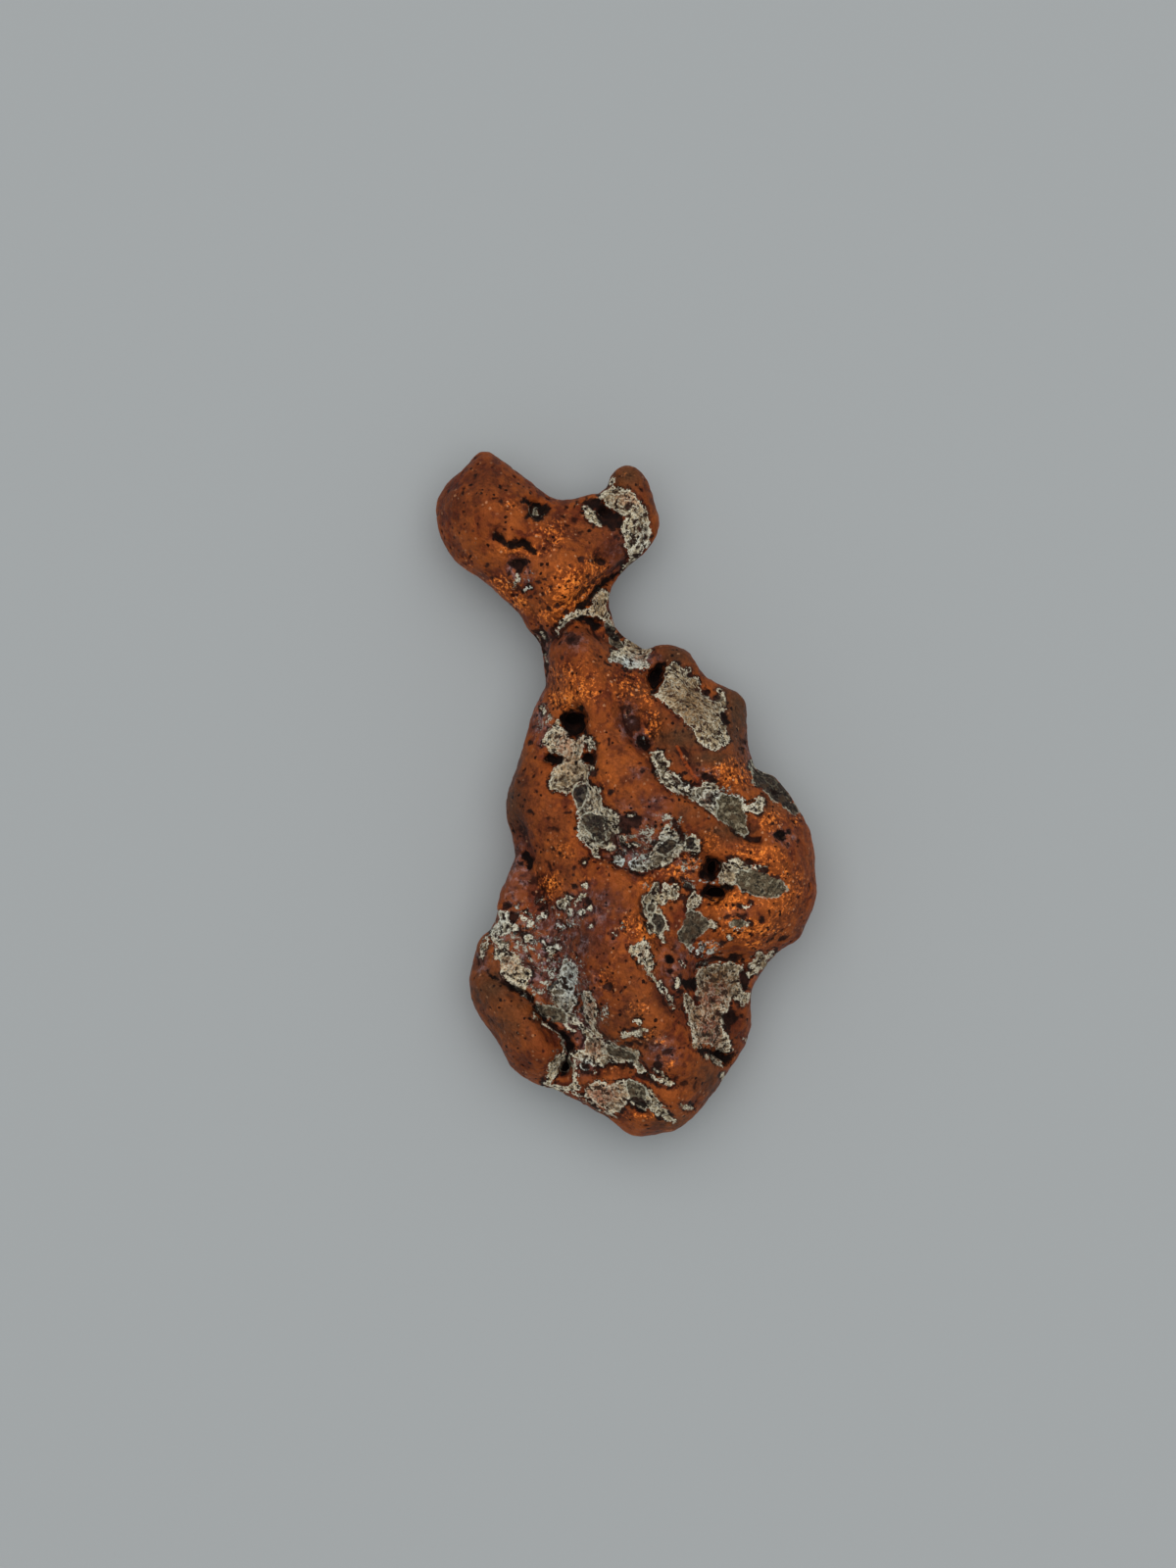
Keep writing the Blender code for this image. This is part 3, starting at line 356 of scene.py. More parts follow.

# Hollows, cut into the skin and painted dark with their shade: depth and outline.
HOLLOWS = [
    # the head
    (0.8, [(531, 508), (536, 507), (541, 512), (548, 512), (553, 514), (557, 513), (561, 519), (560, 524),
        (556, 527), (553, 532), (547, 533), (541, 530), (534, 530), (534, 526), (539, 522), (541, 516),
        (536, 515), (532, 512)]),
    (0.7, [(503, 545), (507, 543), (512, 545), (514, 551), (517, 555), (513, 556), (508, 552), (503, 549)]),
    (0.8, [(516, 556), (520, 552), (527, 552), (533, 550), (539, 552), (544, 558), (546, 563), (543, 566),
        (540, 562), (533, 560), (526, 559), (519, 560)]),
    (0.6, [(517, 574), (523, 572), (528, 571), (533, 569), (538, 569), (538, 575), (534, 580), (533, 585),
        (527, 584), (524, 579), (518, 578)]),
    (0.7, [(593, 514), (600, 508), (608, 508), (616, 515), (624, 521), (634, 526), (636, 531), (633, 538),
        (628, 541), (620, 540), (614, 533), (609, 530), (606, 521), (600, 517)]),
    # the upper body
    (1.4, [(660, 690), (663, 686), (670, 680), (673, 676), (677, 676), (677, 684), (676, 692), (674, 699),
        (670, 706), (667, 707), (663, 701), (661, 697)]),
    (0.8, [(736, 727), (742, 729), (744, 737), (740, 738), (736, 734)]),
    (1.6, [(571, 733), (574, 728), (573, 724), (579, 726), (583, 722), (588, 727), (593, 724), (598, 730),
        (597, 736), (601, 743), (599, 750), (594, 748), (589, 753), (583, 750), (580, 752), (578, 744),
        (573, 740)]),
    (1.1, [(555, 775), (558, 772), (566, 771), (573, 773), (574, 778), (567, 781), (560, 779)]),
    (1.2, [(594, 771), (598, 768), (604, 768), (607, 773), (607, 780), (602, 780), (595, 778)]),
    (0.7, [(648, 752), (653, 751), (658, 757), (663, 761), (661, 766), (657, 767), (653, 763), (650, 758)]),
    # the right lobe
    (0.5, [(716, 791), (722, 790), (727, 793), (733, 796), (729, 799), (721, 796)]),
    (1.3, [(721, 873), (726, 876), (732, 874), (736, 879), (732, 884), (733, 890), (729, 894), (727, 899),
        (721, 896), (716, 897), (713, 891), (716, 886), (714, 882), (719, 880)]),
    (1.2, [(714, 907), (720, 905), (723, 901), (729, 905), (735, 904), (740, 902), (748, 904), (745, 909),
        (739, 911), (737, 917), (731, 916), (727, 921), (721, 917), (716, 914)]),
    (0.5, [(774, 886), (783, 885), (785, 889), (780, 893), (775, 890)]),
    # the left edge and the fold
    (0.9, [(536, 867), (541, 870), (544, 878), (543, 887), (539, 888), (536, 880), (533, 872)]),
    (1.8, [(571, 1094), (574, 1088), (577, 1081), (577, 1072), (575, 1063), (572, 1055), (574, 1050),
        (578, 1053), (582, 1061), (586, 1069), (583, 1074), (580, 1080), (582, 1087), (579, 1095),
        (574, 1098)]),
    # round the block at the lower right
    (1.0, [(679, 975), (684, 973), (688, 978), (687, 984), (682, 984)]),
    (1.0, [(696, 1000), (703, 999), (709, 997), (710, 1006), (710, 1013), (703, 1011), (697, 1009)]),
    (0.6, [(740, 1034), (745, 1030), (749, 1034), (753, 1040), (749, 1044), (745, 1049), (741, 1048),
        (738, 1042), (735, 1036)]),
    (0.6, [(757, 990), (762, 993), (764, 1003), (761, 1012), (757, 1010), (756, 1000)]),
    (0.9, [(713, 1072), (720, 1068), (728, 1073), (736, 1076), (743, 1074), (749, 1074), (747, 1081),
        (741, 1088), (735, 1087), (728, 1080), (720, 1079), (715, 1078)]),
    (0.7, [(742, 978), (748, 973), (756, 974), (757, 979), (749, 982)]),
    # the foot, the lobe's edge and the swirl
    (0.8, [(648, 1127), (653, 1129), (659, 1129), (660, 1134), (654, 1135), (649, 1133)]),
    (0.5, [(793, 959), (798, 955), (806, 954), (803, 958), (796, 961)]),
    (0.4, [(676, 1070), (681, 1068), (686, 1072), (684, 1077), (678, 1075)]),
    (0.6, [(666, 1087), (670, 1084), (675, 1087), (675, 1092), (669, 1093)]),
    (0.4, [(668, 1078), (672, 1076), (674, 1080), (670, 1083)]),
    # the neck
    (0.9, [(590, 631), (597, 630), (604, 634), (609, 637), (613, 641), (608, 643), (602, 639), (596, 635)]),
    (0.8, [(618, 641), (625, 642), (632, 645), (637, 649), (632, 652), (625, 650), (620, 646)]),
    (0.4, [(577, 646), (584, 645), (589, 650), (592, 656), (586, 660), (580, 657), (576, 652)]),
    (0.5, [(543, 642), (548, 642), (554, 648), (557, 656), (556, 664), (558, 672), (560, 684), (558, 692),
        (556, 684), (554, 672), (550, 664), (547, 652)]),
    # the middle
    (0.4, [(634, 832), (640, 829), (648, 830), (654, 834), (656, 841), (650, 846), (645, 845), (640, 852),
        (633, 850), (630, 842)]),
    (0.4, [(622, 848), (628, 850), (630, 858), (626, 862), (622, 856)]),
    # the right edge
    (0.9, [(791, 849), (796, 847), (801, 850), (802, 856), (797, 859), (792, 857), (790, 853)]),
    (0.5, [(785, 806), (792, 806), (799, 811), (799, 817), (791, 816)]),
    # the foot
    (0.6, [(642, 1120), (650, 1118), (657, 1122), (664, 1127), (658, 1130), (650, 1129), (643, 1126)]),
]

# Clefts, cut into the skin and painted dark with their shade: half-width in pixels, depth and course.
CLEFTS = [
    (2.4, 0.8, [(588, 632), (596, 631), (604, 635), (611, 639)]),
    (2.0, 0.6, [(618, 644), (624, 648), (630, 653)]),
    (3.0, 0.9, [(591, 621), (598, 615), (604, 607), (610, 600), (618, 593), (628, 586)]),
    (1.8, 0.4, [(543, 645), (549, 660), (555, 668), (558, 680), (557, 692)]),
    (1.6, 0.5, [(552, 640), (556, 650), (556, 658)]),
    (1.3, 0.8, [(497, 991), (505, 998), (514, 1004), (522, 1008)]),
    (2.0, 1.2, [(520, 1007), (530, 1012), (538, 1016), (544, 1024), (550, 1034), (558, 1042), (566, 1048)]),
    (2.4, 1.3, [(562, 1044), (568, 1050), (574, 1056), (578, 1066), (580, 1076)]),
    (2.2, 0.5, [(711, 985), (720, 981), (730, 979), (742, 979)]),
    (2.2, 0.6, [(761, 855), (767, 857), (774, 857)]),
    (1.4, 0.3, [(641, 1124), (647, 1123)]),
    (1.4, 0.4, [(758, 908), (765, 914)]),
    (1.6, 0.4, [(760, 881), (768, 880)]),
    (1.4, 0.4, [(741, 876), (748, 873)]),
    (1.6, 0.4, [(786, 893), (795, 895)]),
    (1.4, 0.4, [(686, 791), (691, 796), (695, 799), (701, 799)]),
    (1.4, 0.4, [(741, 937), (748, 934), (756, 934), (763, 938), (768, 944)]),
    (1.6, 0.4, [(673, 903), (674, 912)]),
    (1.4, 0.4, [(618, 838), (619, 846), (620, 852), (617, 858)]),
    (1.5, 0.4, [(655, 1066), (648, 1063), (640, 1066), (634, 1070)]),
    (1.6, 0.5, [(646, 1098), (656, 1098), (664, 1103), (672, 1109)]),
    (1.3, 0.4, [(640, 1049), (648, 1051), (652, 1048)]),
    (1.8, 0.5, [(688, 838), (692, 846), (697, 853), (697, 863)]),
    (1.2, 0.3, [(699, 812), (693, 806), (700, 800)]),
    (1.6, 0.4, [(745, 844), (752, 848)]),
]

# Round pits, cut into the skin and painted dark with their shade: x, y and radius in pixels, and depth.
PITS = [
    (614, 574, 5.0, 0.7), (605, 789, 3.6, 0.5), (711, 704, 3.0, 0.6), (720, 706, 4.6, 1.0),
    (732, 711, 3.8, 0.8), (704, 688, 3.4, 0.7), (804, 849, 2.6, 0.4), (788, 840, 2.4, 0.4),
    (804, 861, 2.4, 0.4), (815, 858, 2.6, 0.4), (517, 924, 3.8, 0.8), (524, 936, 5.4, 1.0),
    (683, 992, 3.0, 0.5), (737, 963, 3.8, 0.5), (620, 1007, 4.0, 0.4), (702, 904, 4.4, 0.7),
    (685, 899, 3.0, 0.5), (699, 879, 2.4, 0.4), (706, 881, 2.2, 0.4), (708, 889, 2.2, 0.4),
    (696, 897, 2.4, 0.4), (697, 917, 2.2, 0.4), (777, 939, 4.0, 0.5), (755, 925, 3.2, 0.5),
    (765, 921, 3.0, 0.5), (813, 915, 2.2, 0.3), (713, 779, 2.2, 0.3), (656, 786, 3.0, 0.4),
    (659, 858, 2.0, 0.3), (630, 870, 3.2, 0.5), (541, 758, 2.6, 0.4), (532, 881, 2.6, 0.5),
    (497, 577, 3.0, 0.5), (494, 565, 2.0, 0.3), (556, 590, 3.0, 0.5), (584, 577, 2.0, 0.3),
    (581, 583, 2.0, 0.3), (592, 571, 3.0, 0.4), (575, 616, 2.4, 0.4), (569, 617, 3.0, 0.5),
    (547, 605, 2.6, 0.3), (554, 606, 2.0, 0.3), (487, 485, 1.6, 0.2), (485, 468, 1.6, 0.2),
    (549, 594, 2.4, 0.3), (563, 599, 2.2, 0.3), (534, 618, 2.2, 0.3), (603, 573, 2.0, 0.3),
    (599, 588, 2.2, 0.3), (578, 624, 2.4, 0.4), (561, 621, 2.4, 0.4), (552, 614, 2.0, 0.3),
    (540, 609, 2.0, 0.3), (566, 607, 1.6, 0.2), (496, 577, 2.0, 0.3), (530, 600, 1.8, 0.2),
    (587, 600, 1.8, 0.3), (594, 604, 1.8, 0.3), (573, 590, 1.6, 0.2), (484, 542, 1.8, 0.2),
    (511, 512, 1.8, 0.2), (634, 555, 2.2, 0.3), (629, 548, 2.0, 0.3), (601, 590, 1.8, 0.3),
    (641, 527, 2.5, 0.3), (648, 521, 1.8, 0.3), (652, 524, 1.5, 0.2), (652, 541, 2.6, 0.4),
    (658, 540, 2.0, 0.3), (658, 549, 3.0, 0.4), (646, 553, 3.2, 0.5), (654, 563, 1.8, 0.2),
    (648, 532, 2.0, 0.3), (647, 509, 2.0, 0.2), (640, 537, 1.5, 0.2), (658, 523, 1.4, 0.2),
    (651, 516, 1.2, 0.1), (664, 547, 2.4, 0.3), (643, 559, 1.4, 0.2), (502, 590, 1.8, 0.3),
    (520, 585, 2.4, 0.4), (495, 585, 1.6, 0.2), (640, 516, 4.0, 0.5), (636, 507, 1.6, 0.2),
    (618, 615, 2.0, 0.3), (597, 1088, 2.4, 0.5), (563, 1000, 1.6, 0.3), (577, 1028, 2.4, 0.4),
    (583, 996, 2.8, 0.4), (584, 987, 2.0, 0.3), (587, 1014, 2.6, 0.4), (517, 992, 1.8, 0.3),
    (514, 981, 1.8, 0.3), (521, 995, 1.4, 0.2), (566, 753, 1.6, 0.3), (567, 801, 2.0, 0.3),
    (610, 812, 2.0, 0.3), (602, 817, 1.4, 0.2), (609, 805, 1.6, 0.2), (678, 779, 2.0, 0.3),
    (724, 816, 4.4, 0.5), (727, 803, 1.8, 0.3), (776, 818, 2.4, 0.3), (683, 700, 1.4, 0.2),
    (693, 722, 1.6, 0.3), (698, 725, 1.5, 0.3), (717, 752, 1.6, 0.3), (725, 755, 1.5, 0.3),
    (758, 757, 3.4, 0.5), (757, 764, 2.0, 0.3), (757, 770, 1.6, 0.2), (766, 768, 2.0, 0.3),
    (705, 751, 1.2, 0.1), (571, 718, 1.8, 0.3), (576, 715, 1.8, 0.3), (566, 712, 1.4, 0.2),
    (593, 723, 3.0, 0.5), (620, 736, 2.0, 0.3), (541, 828, 2.0, 0.3), (640, 726, 1.8, 0.3),
    (645, 733, 2.0, 0.3), (643, 742, 2.0, 0.3), (636, 722, 1.6, 0.2), (652, 744, 1.6, 0.2),
    (623, 808, 2.0, 0.2), (568, 866, 1.4, 0.2), (574, 872, 1.6, 0.2), (586, 886, 1.5, 0.2),
    (587, 893, 2.0, 0.3), (573, 656, 1.8, 0.3), (584, 660, 2.0, 0.3), (578, 650, 1.6, 0.2),
    (590, 652, 2.0, 0.3), (580, 655, 1.6, 0.2), (573, 671, 1.8, 0.2), (580, 684, 1.6, 0.2),
    (671, 1085, 3.0, 0.4), (680, 1074, 3.4, 0.4), (668, 1090, 2.6, 0.4), (644, 1086, 2.6, 0.4),
    (690, 1100, 2.4, 0.3), (726, 1019, 3.0, 0.4), (713, 1019, 3.0, 0.5), (733, 1034, 2.6, 0.4),
    (737, 1005, 2.2, 0.3), (716, 1001, 1.8, 0.2), (707, 960, 2.6, 0.4), (712, 1030, 1.6, 0.2),
    (758, 993, 2.6, 0.4), (748, 1077, 2.4, 0.4), (600, 920, 2.6, 0.4), (586, 905, 3.0, 0.4),
    (579, 916, 1.2, 0.2), (592, 917, 1.2, 0.2), (564, 968, 1.4, 0.2), (561, 974, 1.2, 0.2),
    (688, 965, 1.8, 0.2),
]

# A fresh scratch in the copper.
GASH = [(690, 762), (697, 772), (700, 780), (706, 789), (712, 795)]
GASH_HALF_WIDTH = 1.4  # pixels

# Soft patches of colour: x, y, half-width and half-height in pixels, and strength.
PATCHES = {
    # the copper, where it is worn bright with a painted highlight, tarnished, purple, or a deep red with
    # painted shade
    "worn": [
        (585, 604, 26, 26, 1.0), (575, 622, 20, 16, 0.6), (530, 562, 26, 8, 0.7), (606, 580, 14, 16, 0.7),
        (577, 714, 18, 10, 1.0), (618, 800, 14, 34, 0.25), (640, 700, 20, 18, 0.5),
        (600, 690, 24, 30, 0.3), (745, 790, 26, 16, 0.75), (775, 872, 34, 12, 0.65),
        (742, 918, 22, 14, 1.0), (765, 948, 32, 12, 0.9), (786, 838, 14, 12, 0.7), (812, 838, 8, 8, 0.5),
        (642, 944, 10, 16, 0.6), (724, 858, 12, 14, 0.55), (628, 972, 10, 14, 0.3),
        (575, 868, 16, 10, 0.5), (600, 895, 14, 8, 0.3), (565, 790, 10, 14, 0.3),
        (655, 1138, 20, 6, 0.55), (520, 515, 16, 8, 0.4), (794, 905, 36, 44, 0.45),
        (692, 888, 20, 12, 0.6), (514, 600, 18, 14, 0.7), (478, 575, 14, 16, 0.3),
        (556, 628, 14, 14, 0.5), (592, 704, 22, 22, 0.6), (660, 712, 14, 26, 0.4),
        (562, 904, 12, 16, 0.8), (658, 949, 12, 14, 1.0), (570, 688, 14, 16, 0.4), (722, 966, 12, 8, 0.8),
        (770, 962, 16, 8, 0.6), (668, 738, 9, 16, 0.6), (619, 690, 9, 10, 0.35), (626, 1090, 14, 7, 0.35),
        (562, 545, 24, 20, 0.45), (684, 1086, 7, 5, 0.7), (672, 1062, 10, 4, 0.6),
        (582, 686, 14, 14, 0.5), (652, 1028, 18, 10, 0.4), (616, 1000, 14, 16, 0.35),
        (612, 880, 30, 12, 0.25), (540, 700, 10, 30, 0.2), (641, 485, 10, 4, 0.3), (662, 903, 9, 9, 0.9),
        (530, 616, 8, 10, 1.0), (661, 1057, 10, 8, 0.7), (664, 748, 8, 9, 0.6), (705, 880, 12, 10, 0.8),
        (640, 858, 10, 10, 0.5), (661, 935, 8, 8, 0.4),
    ],
    "tarnish": [
        (698, 752, 34, 15, 1.0), (675, 732, 12, 10, 0.5), (725, 774, 26, 9, 1.0), (752, 722, 18, 46, 1.0),
        (690, 668, 20, 14, 0.9), (645, 1032, 34, 22, 0.3), (618, 1040, 14, 16, 0.4),
        (520, 1034, 34, 34, 0.65), (502, 1008, 26, 24, 1.0), (520, 815, 16, 44, 0.8),
        (742, 848, 26, 10, 0.8), (700, 830, 22, 12, 0.4), (660, 1060, 20, 14, 0.5),
        (650, 705, 10, 8, 0.5), (725, 1100, 18, 22, 0.7), (527, 776, 10, 16, 0.6),
        (782, 824, 14, 12, 0.5), (690, 1146, 30, 10, 0.7), (568, 1012, 10, 8, 0.4), (505, 985, 8, 6, 0.6),
        (492, 976, 8, 20, 1.0), (641, 486, 20, 16, 1.0), (664, 520, 8, 34, 0.3), (575, 1030, 12, 10, 0.5),
    ],
    "purple": [
        (600, 925, 30, 22, 0.7), (526, 895, 14, 34, 1.0), (592, 960, 18, 20, 0.6),
        (645, 850, 28, 26, 0.9), (550, 985, 34, 26, 0.8), (582, 655, 22, 10, 0.6),
        (725, 970, 16, 12, 0.25), (676, 1076, 16, 16, 0.9), (654, 755, 9, 10, 1.0),
        (640, 735, 10, 18, 0.7), (722, 790, 12, 8, 0.8), (702, 886, 16, 16, 0.5),
        (590, 1075, 14, 18, 0.6), (530, 580, 14, 12, 1.0), (690, 985, 16, 20, 0.7),
        (610, 950, 30, 26, 0.3), (655, 790, 14, 8, 0.5), (552, 735, 8, 26, 0.9), (560, 1010, 24, 14, 0.6),
        (665, 672, 8, 8, 1.0), (800, 854, 11, 9, 1.0), (640, 550, 12, 20, 0.4), (630, 560, 16, 30, 0.3),
        (536, 587, 6, 8, 1.0), (668, 820, 16, 12, 0.6), (672, 835, 10, 8, 0.8), (595, 1092, 8, 10, 0.8),
        (758, 1006, 6, 14, 0.7), (600, 1010, 14, 20, 0.5), (510, 950, 14, 20, 0.6),
        (755, 930, 16, 8, 0.5), (553, 665, 8, 26, 1.0), (560, 965, 44, 36, 0.7), (648, 862, 30, 26, 0.8),
        (590, 1048, 18, 22, 1.0), (775, 998, 8, 8, 0.7), (492, 980, 8, 14, 0.8), (722, 715, 8, 6, 0.5),
        (763, 762, 6, 20, 0.5),
    ],
    # deep red copper, also used as painted shade where flanks and slopes are darker
    "deep_red_and_shade": [
        (700, 775, 22, 18, 0.9), (641, 482, 18, 12, 0.6), (528, 828, 24, 48, 1.0),
        (492, 1012, 16, 26, 0.6), (588, 653, 12, 10, 1.0), (598, 960, 14, 24, 1.0),
        (652, 1004, 14, 12, 0.5), (672, 814, 30, 14, 0.5), (650, 705, 34, 40, 0.3),
        (494, 487, 20, 20, 0.9), (488, 508, 14, 14, 0.7), (465, 512, 16, 20, 1.0),
        (527, 872, 12, 20, 0.8), (619, 917, 16, 14, 1.0), (796, 945, 12, 8, 0.5),
        (674, 1010, 14, 20, 0.8), (655, 500, 10, 26, 0.6), (688, 670, 22, 16, 1.0),
        (750, 722, 14, 50, 0.9), (534, 900, 12, 20, 0.3), (620, 930, 16, 24, 0.4),
        (700, 830, 30, 14, 0.4), (690, 1010, 16, 30, 0.8), (660, 1075, 24, 18, 0.6),
        (605, 1095, 14, 12, 0.6), (700, 1110, 30, 26, 0.2), (530, 1080, 40, 30, 0.5),
        (580, 655, 30, 12, 0.5), (716, 790, 12, 8, 0.8), (590, 1050, 10, 14, 0.9),
        (520, 900, 14, 24, 0.4), (724, 1026, 14, 16, 0.8), (748, 1045, 14, 26, 1.0),
        (556, 1096, 14, 12, 0.6), (624, 556, 24, 30, 0.9), (626, 850, 14, 14, 0.6),
        (610, 1060, 20, 16, 0.6), (637, 922, 10, 12, 0.35), (661, 793, 10, 8, 0.6),
        (573, 838, 10, 12, 0.6), (552, 838, 10, 12, 0.7), (640, 991, 10, 10, 0.6), (770, 836, 8, 10, 0.5),
        (490, 530, 14, 16, 0.4), (727, 793, 10, 8, 0.8), (816, 947, 8, 12, 0.8), (661, 1036, 10, 8, 0.4),
    ],
    # pale powder on the copper
    "powder": [
        (540, 970, 30, 30, 0.6), (580, 935, 20, 18, 0.5), (575, 1000, 22, 34, 0.9),
        (662, 854, 12, 12, 0.8), (636, 874, 14, 9, 0.75), (600, 1035, 18, 22, 0.6),
        (540, 935, 22, 18, 0.6), (700, 858, 16, 12, 0.7), (510, 958, 12, 24, 0.7), (494, 966, 6, 14, 0.5),
        (738, 806, 16, 7, 0.4), (556, 740, 8, 22, 0.8), (600, 1078, 14, 12, 0.35),
        (721, 968, 18, 10, 1.0), (684, 837, 14, 10, 0.9), (588, 1050, 10, 12, 0.45),
        (552, 650, 5, 12, 0.4), (682, 1062, 12, 8, 0.4), (655, 755, 8, 8, 0.5), (540, 588, 6, 8, 0.7),
        (704, 882, 12, 9, 0.8), (704, 901, 10, 9, 0.9), (662, 904, 7, 7, 0.5), (641, 858, 10, 8, 0.8),
        (715, 985, 12, 7, 0.5), (566, 1076, 7, 9, 0.5), (661, 991, 7, 8, 0.6), (616, 1034, 8, 12, 0.8),
        (661, 1057, 10, 7, 0.4), (655, 875, 16, 10, 0.9), (665, 848, 6, 8, 0.7), (722, 900, 10, 4, 0.8),
        (620, 1066, 20, 8, 0.7), (560, 1010, 26, 16, 0.8), (625, 838, 8, 8, 0.7), (582, 645, 16, 5, 0.3),
        (560, 925, 26, 12, 0.45), (720, 1052, 18, 16, 0.5), (776, 982, 14, 10, 0.7),
        (758, 1014, 8, 10, 0.5),
    ],
    # the crust, where it is tan and not chalky, pinkish, dull brown, or bluish as the powder is there too
    "tan": [
        (705, 718, 30, 40, 1.0), (612, 620, 12, 22, 0.9), (583, 785, 22, 24, 0.9), (650, 658, 14, 8, 1.0),
        (718, 1020, 26, 44, 0.8), (620, 1118, 24, 16, 0.8), (606, 1070, 12, 14, 0.8),
        (742, 893, 8, 10, 0.6), (635, 508, 16, 10, 0.5), (780, 982, 16, 14, 0.5), (604, 815, 8, 12, 0.6),
        (525, 985, 14, 12, 0.4), (575, 1102, 12, 6, 0.7), (655, 535, 12, 18, 0.4),
    ],
    "pink": [
        (726, 1020, 14, 12, 1.0), (724, 1052, 14, 22, 1.0), (612, 1118, 20, 12, 0.9),
        (577, 760, 12, 16, 0.6), (596, 760, 4, 8, 1.0), (731, 1012, 12, 12, 1.0), (655, 975, 6, 8, 0.3),
        (655, 672, 10, 6, 0.7), (607, 1070, 10, 10, 0.7), (602, 1030, 5, 16, 0.7), (642, 510, 14, 8, 0.5),
        (520, 985, 10, 10, 0.4), (722, 816, 5, 5, 1.0),
    ],
    "dull": [
        (495, 968, 8, 16, 1.0), (733, 1004, 28, 26, 1.0), (726, 1050, 16, 22, 0.9),
        (705, 718, 30, 40, 0.5), (634, 1072, 24, 12, 0.9), (704, 1040, 8, 24, 0.7),
        (648, 1110, 16, 10, 0.6), (720, 1045, 16, 22, 0.5), (567, 1030, 12, 10, 0.8),
        (605, 1070, 12, 12, 0.4), (704, 916, 6, 8, 0.3), (782, 980, 12, 10, 0.4),
        (750, 1022, 10, 10, 0.5), (682, 704, 8, 10, 0.9), (595, 837, 8, 8, 0.6), (595, 1079, 8, 8, 0.4),
    ],
    "cool": [
        (582, 1000, 16, 34, 0.9), (735, 815, 26, 10, 0.7), (700, 800, 12, 8, 0.5),
        (597, 835, 20, 30, 0.3), (640, 677, 18, 7, 1.0), (640, 880, 22, 10, 1.0), (540, 590, 8, 12, 1.0),
        (598, 1088, 7, 7, 1.0), (575, 950, 30, 22, 0.7), (680, 860, 14, 12, 0.6), (724, 900, 10, 6, 1.0),
        (655, 752, 10, 8, 0.8), (712, 968, 16, 10, 0.7), (510, 940, 16, 20, 0.5), (655, 556, 10, 20, 0.4),
    ],
}


# ---------------------------------------------------------------- meshes and points
def mesh_points(mesh):
    found = np.empty(len(mesh.vertices) * 3, np.float32)
    mesh.vertices.foreach_get("co", found)
    return found.reshape(-1, 3).astype(float) / MM


def mesh_normals(mesh):
    found = np.empty(len(mesh.vertices) * 3, np.float32)
    mesh.vertex_normals.foreach_get("vector", found)
    return found.reshape(-1, 3).astype(float)


def set_points(mesh, points):
    mesh.vertices.foreach_set("co", (points * MM).astype(np.float32).ravel())
    mesh.update()


def apply_modifiers(holder):
    bpy.context.view_layer.update()
    graph = bpy.context.evaluated_depsgraph_get()
    mesh = bpy.data.meshes.new_from_object(holder.evaluated_get(graph))
    holder.modifiers.clear()
    holder.data = mesh


def remesh(holder, voxel, smoothings):
    """Rebuilds a surface from cubes of one size, and smooths it a number of times."""
    voxels = holder.modifiers.new("voxels", "REMESH")
    voxels.mode = "VOXEL"
    voxels.voxel_size = voxel * MM
    smooth = holder.modifiers.new("smooth", "SMOOTH")
    smooth.factor = 0.5
    smooth.iterations = smoothings
    apply_modifiers(holder)


def count_triangles(mesh):
    return sum(len(face.vertices) - 2 for face in mesh.polygons)


def edge_lists(mesh):
    found = np.empty(len(mesh.edges) * 2, np.int32)
    mesh.edges.foreach_get("vertices", found)
    return found.reshape(-1, 2)


def spread(values, edges, rounds):
    """Evens out values over a mesh by passing them along its edges."""
    count = np.bincount(edges.ravel(), minlength=len(values))[:, None]
    values = values.reshape(len(values), -1)
    for _ in range(rounds):
        total = np.zeros_like(values)
        for column in range(values.shape[1]):
            total[:, column] = np.bincount(edges[:, 0], values[edges[:, 1], column], len(values))
            total[:, column] += np.bincount(edges[:, 1], values[edges[:, 0], column], len(values))
        values = (values + total) / (1 + count)
    return values


# ---------------------------------------------------------------- noise
LATTICE = np.random.default_rng(7).normal(size=(4096, 3))
LATTICE /= np.linalg.norm(LATTICE, axis=1)[:, None]


def noise(points, length, seed=0):
    """Smooth random values, mostly from -0.7 to 0.7, whose bumps are about a length apart."""
    scaled = points / length + 31.7 * (seed + 1)
    corner = np.floor(scaled).astype(np.int64)
    part = scaled - corner
    fade = part**3 * (part * (part * 6 - 15) + 10)
    total = np.zeros(len(points))
    for offset in itertools.product((0, 1), repeat=3):
        cell = corner + offset
        mixed = (cell[:, 0] * 73856093) ^ (cell[:, 1] * 19349663) ^ (cell[:, 2] * 83492791)
        slope = LATTICE[(mixed ^ (mixed >> 13)) % len(LATTICE)]
        weight = np.prod(np.where(offset, fade, 1 - fade), axis=1)
        total += weight * ((part - offset) * slope).sum(1)
    return total * 1.5


def layered(points, length, layers, seed=0):
    """Noise with finer layers on it, each of them half as long and half as strong as the last."""
    total = np.zeros(len(points))
    for layer in range(layers):
        total += noise(points, length / 2**layer, seed + layer) / 2**layer
    return total


def bumps(points, layers):
    """Layers of noise, given by their length, height and seed."""
    return sum(height * noise(points, length, seed) for length, height, seed in layers)


def step(values, low, high):
    """0 at low and 1 at high, with a smooth step between. High may be the lesser."""
    share = np.clip((values - low) / (high - low), 0, 1)
    return share * share * (3 - 2 * share)


# ---------------------------------------------------------------- places and distances in the picture
def picture_places(points):
    """Where the camera sees each point, in pixels."""
    scale = CAMERA_DISTANCE / (CAMERA_DISTANCE + RIM_LEVEL - points[:, 2]) / PIXEL
    across = FRAME_WIDTH / 2 + (points[:, 0] - AXIS[0]) * scale
    down = FRAME_HEIGHT / 2 - (points[:, 1] - AXIS[1]) * scale
    return np.stack([across, down], 1)


